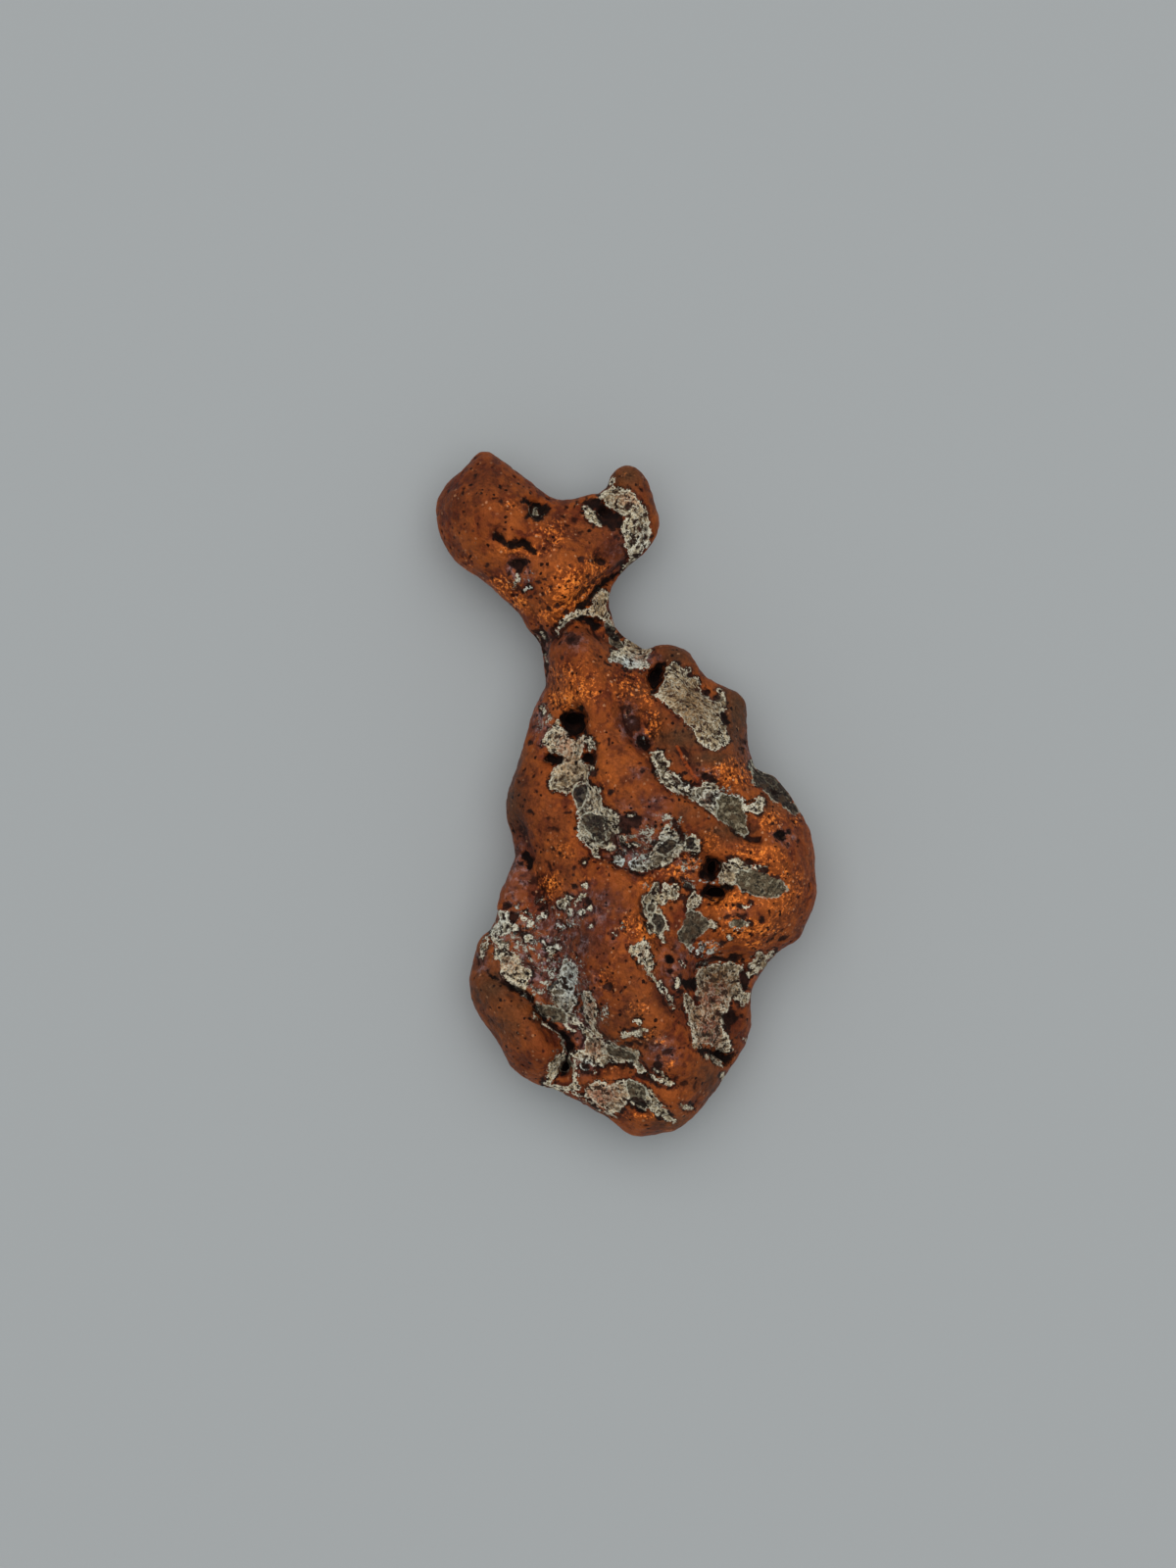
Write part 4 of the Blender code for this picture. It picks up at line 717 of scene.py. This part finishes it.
def roughened(places, small_push=SMALL_PUSH):
    """The places moved about a little, so that the outlines drawn there turn out uneven."""
    flat = np.column_stack([places, np.zeros(len(places))])
    push = [PUSH * noise(flat, PUSH_LENGTH, seed) + small_push * noise(flat, SMALL_PUSH_LENGTH, seed + 1)
            for seed in (101, 105)]
    return places + np.stack(push, 1)


def line_distance(places, line):
    nearest = np.full(len(places), 1e9)
    for start, end in zip(line[:-1], line[1:]):
        start, along = np.array(start, float), np.subtract(end, start).astype(float)
        share = np.clip((places - start) @ along / (along @ along), 0, 1)
        nearest = np.minimum(nearest, np.linalg.norm(places - start - share[:, None] * along, axis=1))
    return nearest


def depth_inside(places, outline):
    """How far each place lies inside an outline. It is negative outside."""
    ring = np.array(list(outline) + [outline[0]], float)
    inside = np.zeros(len(places), bool)
    for (x0, y0), (x1, y1) in zip(ring[:-1], ring[1:]):
        spans = (y0 > places[:, 1]) != (y1 > places[:, 1])
        crossing = x0 + (places[:, 1] - y0) * (x1 - x0) / ((y1 - y0) or 1)
        inside ^= spans & (places[:, 0] < crossing)
    return np.where(inside, 1, -1) * line_distance(places, ring)


def near(places, line):
    """Which places are close enough to a line's box to matter."""
    low, high = np.min(line, 0) - REACH, np.max(line, 0) + REACH
    return np.flatnonzero(((places > low) & (places < high)).all(1))


def inside_any(places, outlines, lines=()):
    """The depth inside the nearest of the outlines and thick lines, held within REACH."""
    depth = np.full(len(places), -REACH)
    for outline in outlines:
        chosen = near(places, outline)
        depth[chosen] = np.maximum(depth[chosen], depth_inside(places[chosen], outline))
    for half_width, line in lines:
        chosen = near(places, line)
        depth[chosen] = np.maximum(depth[chosen], half_width - line_distance(places[chosen], line))
    return np.minimum(depth, REACH)


def soft_patches(places, patches):
    total = np.zeros(len(places))
    for x, y, half_width, half_height, strength in patches:
        apart = ((places[:, 0] - x) / half_width) ** 2 + ((places[:, 1] - y) / half_height) ** 2
        total = np.maximum(total, strength * np.exp(-apart))
    return total


# ---------------------------------------------------------------- what lies where on the skin
def hollow_cut(places):
    """How deep the hollows, clefts and pits go at each place."""
    cut = np.zeros(len(places))
    for depth, outline in HOLLOWS:
        chosen = near(places, outline)
        cut[chosen] = np.maximum(cut[chosen], depth * step(depth_inside(places[chosen], outline), -1.5, 3.5))
    for half_width, depth, line in CLEFTS:
        chosen = near(places, line)
        share = step(line_distance(places[chosen], line) / half_width, 1.7, 0.2)
        cut[chosen] = np.maximum(cut[chosen], depth * share)
    for x, y, radius, depth in PITS:
        chosen = near(places, [(x, y), (x, y)])
        apart = np.hypot(*(places[chosen] - (x, y)).T) / radius
        cut[chosen] = np.maximum(cut[chosen], depth * step(apart, 1.4, 0.2))
    return cut


def stone_darkness(places):
    darkness = np.full(len(places), 0.5)
    for dark, outline in STONES:
        chosen = near(places, outline)
        darkness[chosen[depth_inside(places[chosen], outline) > -2]] = dark
    return darkness


def hollow_shade_strength(places):
    """How dark the painted shade in the hollows and clefts is, from 0 to 1. The deeper ones are blacker."""
    hollow_shade = np.zeros(len(places))
    for depth, outline in HOLLOWS:
        chosen = near(places, outline)
        inside = chosen[depth_inside(places[chosen], outline) > -4]
        hollow_shade[inside] = np.maximum(hollow_shade[inside], step(depth, 0.3, 0.9))
    for half_width, depth, line in CLEFTS:
        chosen = near(places, line)
        inside = chosen[line_distance(places[chosen], line) < half_width + 2]
        hollow_shade[inside] = np.maximum(hollow_shade[inside], step(depth, 0.3, 0.9))
    return hollow_shade


def upper_marks(points):
    """The values of the upper side, from the tables."""
    places = roughened(picture_places(points))
    thick_clefts = [(0.8 * half_width, line) for half_width, _, line in CLEFTS]
    round_pits = [(0.85 * radius, [(x, y), (x + 0.1, y)]) for x, y, radius, _ in PITS]
    hollow = inside_any(places, [outline for _, outline in HOLLOWS], thick_clefts + round_pits)
    marks = {
        "crust": inside_any(places, CRUSTS, CRUST_LINES),
        "stone": inside_any(places, [outline for _, outline in STONES]),
        "hollow": np.minimum(hollow, -1 - 2 * inside_any(places, [], CRUST_LINES)),
        "gash": GASH_HALF_WIDTH - line_distance(places, GASH),
        "slate": stone_darkness(places),
        "hollow_shade": hollow_shade_strength(places),
    }
    for name, patches in PATCHES.items():
        marks[name] = soft_patches(places, patches)
    return marks


def underside_marks(points):
    """The values of the underside, which no picture shows: they are made by noise."""
    ground = layered(points, 9.0, 3, 20)
    marks = {
        "crust": (ground - 0.34) * 30,
        "stone": (noise(points, 6.0, 30) - 0.52) * 30,
        "hollow": np.full(len(points), -REACH),
        "gash": np.full(len(points), -REACH),
        "hollow_shade": np.zeros(len(points)),
        "powder": 0.6 * step(ground, 0.12, 0.35),
    }
    for name, (length, seed, low, high, strength) in UNDERSIDE.items():
        marks[name] = strength * step(noise(points, length, seed), low, high)
    return marks


def facing_up(normals):
    """Which points the tables are for: 1 on the upper side and 0 on the underside."""
    return step(normals[:, 2], -0.05, 0.25)


def all_marks(points, normals):
    """The values at each point that the material reads."""
    up = facing_up(normals)
    above, below = upper_marks(points), underside_marks(points)
    return {name: up * above[name] + (1 - up) * below[name] for name in above}


# ---------------------------------------------------------------- the nugget's skin
def pitting(points, worn):
    """How strongly each point is pitted, from 0 to 1, by small scattered pits. Places marked worn and
    highlit have more.
    """
    small = step(noise(points, 0.62, 11) + 0.12 * worn, 0.50, 0.78)
    return np.maximum(small, step(noise(points, 1.1, 12) + 0.1 * worn, 0.62, 0.85))


def fine_relief(points, marks):
    """The height of the fine bumps at each point: hammered copper, grainy crust and smoother stone."""
    crust = step(marks["crust"], -0.5, 1.5)
    stone = step(marks["stone"], -0.5, 1.0)
    copper = bumps(points, COPPER_BUMPS) - PITTING_DEPTH * pitting(points, marks["worn"])
    grains = bumps(points, CRUST_BUMPS) - CRUST_SINK
    slab = bumps(points, STONE_BUMPS) - STONE_SINK
    rim = RIM_HEIGHT * np.exp(-((marks["crust"] - 1.5) / 1.5) ** 2)
    seam = -SEAM_DEPTH * np.exp(-((marks["crust"] + 1.8) / 1.6) ** 2)
    height = copper + crust * (grains + rim - 0.5 * copper) + seam
    return height + stone * (slab - crust * (grains + rim) * 0.7)


def welded_copy(name, source):
    """A copy of a solid whose triangles share their corners."""
    made = bmesh.new()
    made.from_mesh(source.data)
    bmesh.ops.remove_doubles(made, verts=made.verts[:], dist=WELD * MM)
    mesh = bpy.data.meshes.new(name)
    made.to_mesh(mesh)
    made.free()
    holder = bpy.data.objects.new(name, mesh)
    bpy.context.scene.collection.objects.link(holder)
    return holder


def cut_hollows(mesh):
    points, normals = mesh_points(mesh), mesh_normals(mesh)
    points[:, 2] -= facing_up(normals) * hollow_cut(roughened(picture_places(points), CUT_PUSH))
    set_points(mesh, points)


def raise_relief(mesh):
    points, normals = mesh_points(mesh), mesh_normals(mesh)
    relief = fine_relief(points, all_marks(points, normals))
    set_points(mesh, points + normals * relief[:, None])


def thin(skin, triangles, chosen=None):
    """Joins faces where the surface is plainest, among all vertices or a chosen few, down to a number."""
    fewer = skin.modifiers.new("fewer", "DECIMATE")
    fewer.ratio = min(1.0, triangles / count_triangles(skin.data))
    if chosen is not None:
        group = skin.vertex_groups.new(name="chosen")
        group.add(chosen.tolist(), 1.0, "REPLACE")
        fewer.vertex_group = group.name
    apply_modifiers(skin)
    skin.vertex_groups.clear()


def lighten(skin):
    """Brings the skin down to its number of triangles, more of them taken from the underside."""
    underside = np.flatnonzero(mesh_normals(skin.data)[:, 2] < -0.1)
    thin(skin, FIRST_THINNING * SKIN_TRIANGLES, underside)
    thin(skin, SKIN_TRIANGLES)


def finish(skin):
    """Rests the skin on the sheet and stores its marks, and how far each point stands out from the rest."""
    mesh = skin.data
    points, normals, edges = mesh_points(mesh), mesh_normals(mesh), edge_lists(mesh)
    points[:, 2] = np.maximum(points[:, 2], 0)
    set_points(mesh, points)
    mesh.shade_smooth()
    marks = all_marks(points, normals)
    for name, rounds in (("relief", CLOSE_ROUNDS), ("form", FAR_ROUNDS)):
        marks[name] = ((points - spread(points, edges, rounds)) * normals).sum(1)
    for name, numbers in marks.items():
        held = mesh.attributes.new(name, "FLOAT", "POINT")
        held.data.foreach_set("value", numbers.astype(np.float32))


def make_skin():
    skin = welded_copy("nugget_skin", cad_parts[NODE])
    round_off = skin.modifiers.new("round_off", "SUBSURF")
    round_off.levels = round_off.render_levels = 1
    apply_modifiers(skin)
    remesh(skin, FIRST_VOXEL, FIRST_SMOOTHINGS)
    cut_hollows(skin.data)
    remesh(skin, SKIN_VOXEL, SKIN_SMOOTHINGS)
    raise_relief(skin.data)
    lighten(skin)
    finish(skin)
    return skin


# ---------------------------------------------------------------- materials
def linear(level):
    """The share of light in a colour's level from 0 to 255."""
    level /= 255
    return level / 12.92 if level <= 0.04045 else ((level + 0.055) / 1.055) ** 2.4


class Nodes:
    """Short words for building a material's node tree. The functions below call it n."""

    def __init__(self, name):
        self.material = bpy.data.materials.new(name)
        self.material.use_nodes = True
        self.tree = self.material.node_tree
        self.shader = self.tree.nodes["Principled BSDF"]
        self.place = self.add("ShaderNodeTexCoord").outputs["Object"]

    def add(self, kind, **settings):
        node = self.tree.nodes.new(kind)
        for name, value in settings.items():
            setattr(node, name, value)
        return node

    def feed(self, socket, value):
        """Links a socket to another, or sets it to a number or to a colour with levels from 0 to 255."""
        if isinstance(value, bpy.types.NodeSocket):
            self.tree.links.new(value, socket)
        elif isinstance(value, tuple):
            socket.default_value = (*map(linear, value), 1)
        else:
            socket.default_value = value

    def math(self, operation, first, second=0.0):
        node = self.add("ShaderNodeMath", operation=operation)
        self.feed(node.inputs[0], first)
        self.feed(node.inputs[1], second)
        return node.outputs[0]

    def total(self, first, *others):
        for other in others:
            first = self.math("ADD", first, other)
        return first

    def product(self, first, second):
        return self.math("MULTIPLY", first, second)

    def greatest(self, first, *others):
        for other in others:
            first = self.math("MAXIMUM", first, other)
        return first

    def read(self, name):
        """One of the skin's marks."""
        return self.add("ShaderNodeAttribute", attribute_name=name).outputs["Fac"]

    def ramp(self, value, low, high):
        """0 below low and 1 above high, with a smooth step between. High may be the lesser."""
        node = self.add("ShaderNodeMapRange", interpolation_type="SMOOTHSTEP")
        turned = low > high
        for name, given in (("Value", value), ("From Min", min(low, high)), ("From Max", max(low, high)),
                            ("To Min", 1.0 if turned else 0.0), ("To Max", 0.0 if turned else 1.0)):
            self.feed(node.inputs[name], given)
        return node.outputs["Result"]

    def noise(self, length, detail=2.0, roughness=0.5):
        """Noise from 0 to 1 with features about a length apart."""
        node = self.add("ShaderNodeTexNoise")
        self.feed(node.inputs["Vector"], self.place)
        node.inputs["Scale"].default_value = 1 / (length * MM)
        node.inputs["Detail"].default_value = detail
        node.inputs["Roughness"].default_value = roughness
        return node.outputs["Fac"]

    def sway(self, noise, amount):
        """Noise made to swing about 0, by half of an amount either way."""
        return self.product(self.math("SUBTRACT", noise, 0.5), amount)

    def from_middle(self, noise):
        """How far noise is from its middle value: 0 along winding lines."""
        return self.math("ABSOLUTE", self.math("SUBTRACT", noise, 0.5))

    def warped(self, length, amount):
        """The place, pushed about by noise to make what is drawn there uneven."""
        noise = self.add("ShaderNodeTexNoise")
        self.feed(noise.inputs["Vector"], self.place)
        noise.inputs["Scale"].default_value = 1 / (length * MM)
        push = self.add("ShaderNodeVectorMath", operation="MULTIPLY_ADD")
        self.feed(push.inputs[0], noise.outputs["Color"])
        push.inputs[1].default_value = (amount * MM,) * 3
        self.feed(push.inputs[2], self.place)
        return push.outputs["Vector"]

    def spots(self, length, share, size):
        """Round spots about a length apart, in a share of places, with radii up to a size in lengths."""
        cells = self.add("ShaderNodeTexVoronoi")
        self.feed(cells.inputs["Vector"], self.warped(0.5 * length, 0.5 * length))
        cells.inputs["Scale"].default_value = 1 / (length * MM)
        split = self.add("ShaderNodeSeparateColor")
        self.feed(split.inputs["Color"], cells.outputs["Color"])
        radius = self.product(self.ramp(split.outputs["Red"], 1 - share, 1.0), size)
        return self.ramp(self.math("SUBTRACT", radius, cells.outputs["Distance"]), 0.0, 0.08)

    def blend(self, share, first, second):
        """From the first colour to the second as the share goes from 0 to 1."""
        node = self.add("ShaderNodeMix", data_type="RGBA", clamp_factor=True)
        for place, value in ((0, share), (6, first), (7, second)):
            self.feed(node.inputs[place], value)
        return node.outputs[2]

    def blend_numbers(self, share, first, second):
        node = self.add("ShaderNodeMix", data_type="FLOAT", clamp_factor=True)
        for place, value in ((0, share), (2, first), (3, second)):
            self.feed(node.inputs[place], value)
        return node.outputs[0]

    def shade(self, tint, factor):
        """The colour made brighter or darker by a factor."""
        node = self.add("ShaderNodeVectorMath", operation="SCALE")
        self.feed(node.inputs["Vector"], tint)
        self.feed(node.inputs["Scale"], factor)
        return node.outputs["Vector"]


def patina(n, copper):
    """Copper where it is deep red with painted shade, dull brown with tarnish, or purple with a paler haze.
    """
    copper = n.blend(n.product(n.read("deep_red_and_shade"), 0.8), copper, DEEP_RED_AND_SHADE)
    copper = n.blend(n.product(n.read("tarnish"), 0.85), copper, TARNISH_BROWN)
    purple = n.product(n.ramp(n.read("purple"), 0.0, 0.75), n.ramp(n.noise(1.6, 5.0, 0.7), 0.24, 0.4))
    plum = n.blend(n.ramp(n.noise(1.0, 4.0, 0.65), 0.42, 0.58), DARK_PLUM, PLUM)
    copper = n.blend(n.product(purple, 0.92), copper, plum)
    haze = n.product(purple, n.ramp(n.noise(0.8, 5.0, 0.72), 0.5, 0.64))
    return n.blend(n.product(haze, 0.7), copper, HAZE)


def worn_glow(n, copper, worn, grainy, medium):
    """Copper brightened where it is worn, with a painted highlight that is strongest on its grains."""
    # Brighter orange where worn, and a painted highlight on the grains there.
    grains = n.total(n.product(worn, 0.75), n.product(grainy, 0.85), n.product(medium, 0.5))
    highlight_glow = n.product(n.ramp(grains, 1.0, 1.5), n.ramp(worn, 0.05, 0.4))
    copper = n.blend(n.product(n.ramp(worn, 0.2, 1.0), 0.4), copper, WORN_HIGHLIGHT_ORANGE)
    return n.blend(highlight_glow, copper, PAINTED_HIGHLIGHT)


def copper_spots(n, copper, worn):
    """Dark specks and small holes painted as the shade in tiny pits, more holes where it is worn, and bright
    glints painted as highlights.
    """
    # Painted shade in tiny pits.
    shaded_specks = n.product(n.spots(0.6, 0.5, 0.38), n.ramp(n.noise(3.0), 0.34, 0.52))
    copper = n.blend(n.product(shaded_specks, 0.95), copper, SPECK_SHADE)
    # Painted shade in small holes, where it is worn.
    hole_shade = n.product(n.spots(0.42, 0.45, 0.42), n.ramp(worn, 0.4, 0.9))
    copper = n.blend(n.product(hole_shade, 0.9), copper, SMALL_HOLE_SHADE)
    # Painted glints of highlight.
    painted_glints = n.product(n.spots(0.36, 0.2, 0.5), n.ramp(n.noise(1.4), 0.42, 0.6))
    return n.blend(n.product(painted_glints, n.total(n.product(worn, 0.8), 0.25)), copper, PAINTED_GLINT)


def copper_colour(n, fine, medium, broad):
    relief, form, worn = n.read("relief"), n.read("form"), n.read("worn")
    copper = n.blend(n.ramp(broad, 0.4, 0.6), BROWN, ORANGE_BROWN)
    clouds = n.ramp(n.noise(2.0, 4.0, 0.6), 0.46, 0.62)
    copper = patina(n, n.blend(n.product(clouds, 0.7), copper, CLOUD))
    grainy = n.ramp(n.noise(0.36, 4.0, 0.7), 0.36, 0.66)
    copper = worn_glow(n, copper, worn, grainy, medium)
    speckle = n.total(0.5, n.product(n.ramp(worn, 0.0, 0.6), 0.6))
    uneven = n.total(n.product(grainy, 0.95), n.product(n.ramp(medium, 0.3, 0.7), 0.5),
                     n.product(n.ramp(fine, 0.36, 0.64), 0.6), -0.96)
    # Darkened where tarnished and deep red; on the deep red patches this darkening is painted shade.
    tarnish_and_shade = n.greatest(n.read("tarnish"), n.read("deep_red_and_shade"))
    copper = n.shade(copper, n.total(1.24, n.product(uneven, speckle), n.product(tarnish_and_shade, -0.48)))
    # Proud ridges painted brighter orange: worn edges with a painted highlight, weaker where tarnished and
    # deep red.
    proud_wear_and_highlight = n.product(n.ramp(relief, 0.006, 0.04), n.total(0.38, n.product(tarnish_and_shade, -0.34)))
    copper = n.blend(proud_wear_and_highlight, copper, PROUD_WEAR_AND_HIGHLIGHT)
    # Painted shade where the skin sinks below its surroundings, in small dents and broad valleys.
    copper = n.blend(n.product(n.ramp(relief, -0.010, -0.04), 0.85), copper, SMALL_DENT_SHADE)
    copper = n.blend(n.product(n.ramp(form, -0.1, -0.5), 0.45), copper, VALLEY_SHADE)
    copper = n.blend(n.product(n.ramp(n.read("gash"), -0.8, 0.6), 0.55), copper, FRESH_CUT)
    return copper_spots(n, copper, worn)


def crust_colour(n, edge, medium):
    """Tan crust, or whiter and more spongy crust, with curling pale ridges, a pale rim, and painted shade in
    its pores, dents and holes.
    """
    tan, dull, pink, cool = n.read("tan"), n.read("dull"), n.read("pink"), n.read("cool")
    body = n.blend(tan, CHALK, SAND)
    body = n.blend(n.product(cool, 0.8), body, COOL_CHALK)
    stain = n.product(n.ramp(n.noise(1.1, 5.0, 0.7), 0.47, 0.56), n.total(0.75, n.product(cool, -0.3)))
    body = n.blend(stain, body, STAIN)
    body = n.blend(n.product(dull, 0.9), body, DULL_BROWN)
    body = n.blend(n.product(pink, n.ramp(medium, 0.32, 0.46)), body, n.blend(dull, ROSE, RED_BROWN))
    pale = n.blend(n.product(cool, 0.9), PALE_RIDGE, COOL_RIDGE)
    grainy = n.ramp(n.noise(0.28, 3.0, 0.7), 0.34, 0.66)
    body = n.shade(body, n.total(0.5, n.product(grainy, 1.16)))
    plain = n.greatest(tan, dull, pink)
    curls = n.ramp(n.total(n.from_middle(n.noise(0.85, 4.0, 0.62)), n.product(cool, -0.03)), 0.034, 0.014)
    curls = n.product(curls, n.total(1.0, n.product(plain, -0.8)))
    body = n.blend(n.product(curls, 0.9), body, pale)
    rim = n.ramp(n.total(edge, n.product(medium, 3.0)), 3.4, 2.2)
    broken = n.product(n.ramp(n.noise(1.7, 3.0, 0.6), 0.34, 0.54), n.total(1.0, n.product(plain, -0.3)))
    body = n.blend(n.product(rim, broken), body, pale)
    sponge = n.total(n.noise(0.6, 4.0, 0.66), n.product(tan, 0.05), n.product(rim, 0.04),
                     n.product(curls, 0.05))
    # Painted shade in the spongy pores.
    body = n.blend(n.ramp(sponge, 0.48, 0.462), body, n.blend(tan, DARK_PORE_SHADE, PORE_SHADE))
    # Painted shade in the crust's dents.
    body = n.blend(n.product(n.ramp(n.read("relief"), -0.01, -0.045), 0.6), body, CRUST_DENT_SHADE)
    # Painted shade in small pores and holes.
    body = n.blend(n.product(n.spots(0.34, 0.4, 0.44), 0.75), body, SMALL_PORE_SHADE)
    return n.blend(n.spots(0.7, 0.3, 0.34), body, CRUST_HOLE_SHADE)


def stone_colour(n, medium):
    """Grey-brown to slate stone with pale flecks and dark scratches."""
    slate = n.read("slate")
    stone = n.blend(slate, GREY_STONE, SLATE)
    stone = n.shade(stone, n.total(0.3, n.product(n.ramp(n.noise(0.34, 4.0, 0.7), 0.36, 0.64), 1.3)))
    flecks = n.product(n.ramp(n.noise(0.55, 4.0, 0.7), 0.53, 0.58), n.total(0.9, n.product(slate, -0.7)))
    stone = n.blend(flecks, stone, FLECK)
    stone = n.blend(n.product(n.ramp(n.noise(0.6, 5.0, 0.75), 0.45, 0.40), 0.9), stone, SCRATCH)
    return n.blend(n.product(n.ramp(medium, 0.5, 0.62), 0.5), stone, STONE_BROWN)


def powder_share(n, fine, broad):
    """A lace of pale grains and veins, dense where the powder lies and absent elsewhere."""
    powder = n.read("powder")
    lace = n.total(n.noise(0.75, 5.0, 0.75), n.product(fine, 0.2), n.product(broad, 0.2),
                   n.product(powder, 0.22))
    grains = n.ramp(lace, 0.88, 0.895)
    middle = n.from_middle(n.noise(1.0, 3.0, 0.6))
    veins = n.ramp(n.total(middle, n.product(powder, -0.02), n.product(fine, 0.04)), 0.022, 0.012)
    veins = n.product(veins, n.ramp(n.noise(2.2, 3.0, 0.6), 0.44, 0.5))
    return n.product(n.greatest(grains, veins), n.ramp(powder, 0.1, 0.35))


def add_powder(n, surface, powder):
    dusty = n.blend(n.read("cool"), POWDER_WHITE, COOL_POWDER)
    dusty = n.blend(n.ramp(n.noise(0.45, 3.0, 0.65), 0.46, 0.36), dusty, POWDER_GAP)
    return n.blend(n.product(powder, 0.92), surface, dusty)


def add_crust(n, surface, fine, medium):
    """The crust on the surface, with painted shadow in the seams and gaps round it, and the crust's share.
    """
    ragged = n.total(n.read("crust"), n.sway(n.noise(0.7, 5.0, 0.7), 13.0), n.sway(fine, 6.0))
    crust = n.ramp(ragged, -0.3, 0.4)
    # Painted shadow along the seam round the crust, weaker where powder lies.
    seam = n.product(n.ramp(ragged, -3.0, -0.6), n.ramp(n.noise(1.1, 3.0, 0.6), 0.4, 0.6))
    seam = n.product(seam, n.total(0.65, n.product(n.read("powder"), -0.5)))
    surface = n.blend(seam, surface, SEAM_SHADOW)
    # Painted shadow in gaps a little further out.
    gap_shadow = n.product(n.ramp(ragged, -5.5, -2.5), n.ramp(n.noise(1.5, 4.0, 0.6), 0.53, 0.58))
    surface = n.blend(n.product(gap_shadow, 0.9), surface, GAP_SHADOW)
    return n.blend(crust, surface, crust_colour(n, ragged, medium)), crust


def add_stone(n, surface, fine, medium):
    """The stone on the surface, with a pale edge here and there, and the stone's share."""
    chipped = n.total(n.read("stone"), n.sway(n.noise(0.9, 4.0, 0.65), 10.0), n.sway(fine, 3.0))
    edge = n.product(n.ramp(chipped, -1.6, -0.5), n.ramp(n.noise(1.1, 3.0), 0.42, 0.55))
    surface = n.blend(n.product(edge, 0.85), surface, STONE_EDGE)
    stone = n.ramp(chipped, 0.0, 0.7)
    return n.blend(stone, surface, stone_colour(n, medium)), stone


def add_hollows(n, surface, fine, medium):
    """The painted shade of the hollows on the surface, and the hollows' share."""
    uneven = n.total(n.read("hollow"), n.sway(n.noise(0.7, 4.0, 0.65), 11.0), n.sway(fine, 4.0))
    hollow = n.ramp(uneven, -1.0, 0.8)
    # Painted shade in the hollows, blacker in the deeper ones.
    shallow = n.blend(n.ramp(medium, 0.42, 0.58), HOLLOW_SHADE_DARK, HOLLOW_SHADE_BROWN)
    return n.blend(n.product(hollow, 0.93), surface, n.blend(n.read("hollow_shade"), shallow, HOLLOW_SHADE_BLACK)), hollow


def nugget_material():
    n = Nodes("native_copper")
    fine, medium, broad = n.noise(0.22, 3.0, 0.6), n.noise(0.8, 4.0, 0.6), n.noise(4.5, 3.0, 0.55)
    surface = copper_colour(n, fine, medium, broad)
    powder = powder_share(n, fine, broad)
    surface = add_powder(n, surface, powder)
    surface, crust = add_crust(n, surface, fine, medium)
    surface, stone = add_stone(n, surface, fine, medium)
    surface, hollow = add_hollows(n, surface, fine, medium)
    n.feed(n.shader.inputs["Base Color"], surface)

    mineral = n.greatest(crust, stone, powder, hollow)
    coated = n.greatest(n.read("tarnish"), n.read("deep_red_and_shade"), n.read("purple"))
    n.feed(n.shader.inputs["Metallic"], n.blend_numbers(mineral, n.total(0.6, n.product(coated, -0.4)), 0.0))
    polish = n.total(n.product(fine, 0.34), n.product(medium, 0.2), 0.26)
    n.feed(n.shader.inputs["Roughness"], n.blend_numbers(mineral, polish, 0.88))
    n.shader.inputs["Specular IOR Level"].default_value = 0.15

    bump = n.add("ShaderNodeBump")
    bump.inputs["Distance"].default_value = MM
    grains = n.total(n.product(n.noise(0.34, 4.0, 0.65), 0.18), n.product(n.noise(0.13, 2.0), 0.06),
                     n.product(medium, 0.10), n.product(crust, n.product(n.noise(0.4, 3.0, 0.6), 0.14)),
                     n.product(powder, 0.06))
    n.feed(bump.inputs["Height"], grains)
    n.feed(n.shader.inputs["Normal"], bump.outputs["Normal"])
    return n.material


def sheet_material():
    n = Nodes("pale_sheet")
    n.feed(n.shader.inputs["Base Color"], SHEET)
    n.shader.inputs["Roughness"].default_value = 0.9
    return n.material


# ---------------------------------------------------------------- the stage
def make_camera():
    lens = bpy.data.cameras.new("camera")
    lens.sensor_fit = "HORIZONTAL"
    lens.sensor_width = SENSOR
    lens.lens = SENSOR * CAMERA_DISTANCE / (FRAME_WIDTH * PIXEL)
    lens.clip_start = 0.01
    camera = bpy.data.objects.new("camera", lens)
    bpy.context.scene.collection.objects.link(camera)
    camera.location = (AXIS[0] * MM, AXIS[1] * MM, (CAMERA_DISTANCE + RIM_LEVEL) * MM)
    bpy.context.scene.camera = camera


def make_world():
    world = bpy.data.worlds.new("room")
    world.use_nodes = True
    sky = world.node_tree.nodes["Background"]
    sky.inputs["Color"].default_value = SKY
    sky.inputs["Strength"].default_value = SKY_STRENGTH
    bpy.context.scene.world = world


def make_sheet():
    made = bmesh.new()
    bmesh.ops.create_grid(made, x_segments=1, y_segments=1, size=SHEET_HALF_WIDTH)
    mesh = bpy.data.meshes.new("sheet")
    made.to_mesh(mesh)
    made.free()
    sheet = bpy.data.objects.new("sheet", mesh)
    bpy.context.scene.collection.objects.link(sheet)
    mesh.materials.append(sheet_material())


def make_window():
    """A wide, soft light that points at the nugget."""
    lamp = bpy.data.lights.new("window", "AREA")
    lamp.shape = "SQUARE"
    lamp.size = WINDOW_WIDTH
    lamp.energy = WINDOW_WATTS
    holder = bpy.data.objects.new("window", lamp)
    bpy.context.scene.collection.objects.link(holder)
    holder.location = WINDOW_PLACE
    holder.rotation_euler = (-Vector(WINDOW_PLACE)).to_track_quat("-Z", "Y").to_euler()


make_camera()
make_world()
make_sheet()
make_window()
nugget = make_skin()
nugget.data.materials.clear()
nugget.data.materials.append(nugget_material())
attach(nugget, "root")
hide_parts(NODE)
bpy.context.scene.view_settings.view_transform = "Standard"
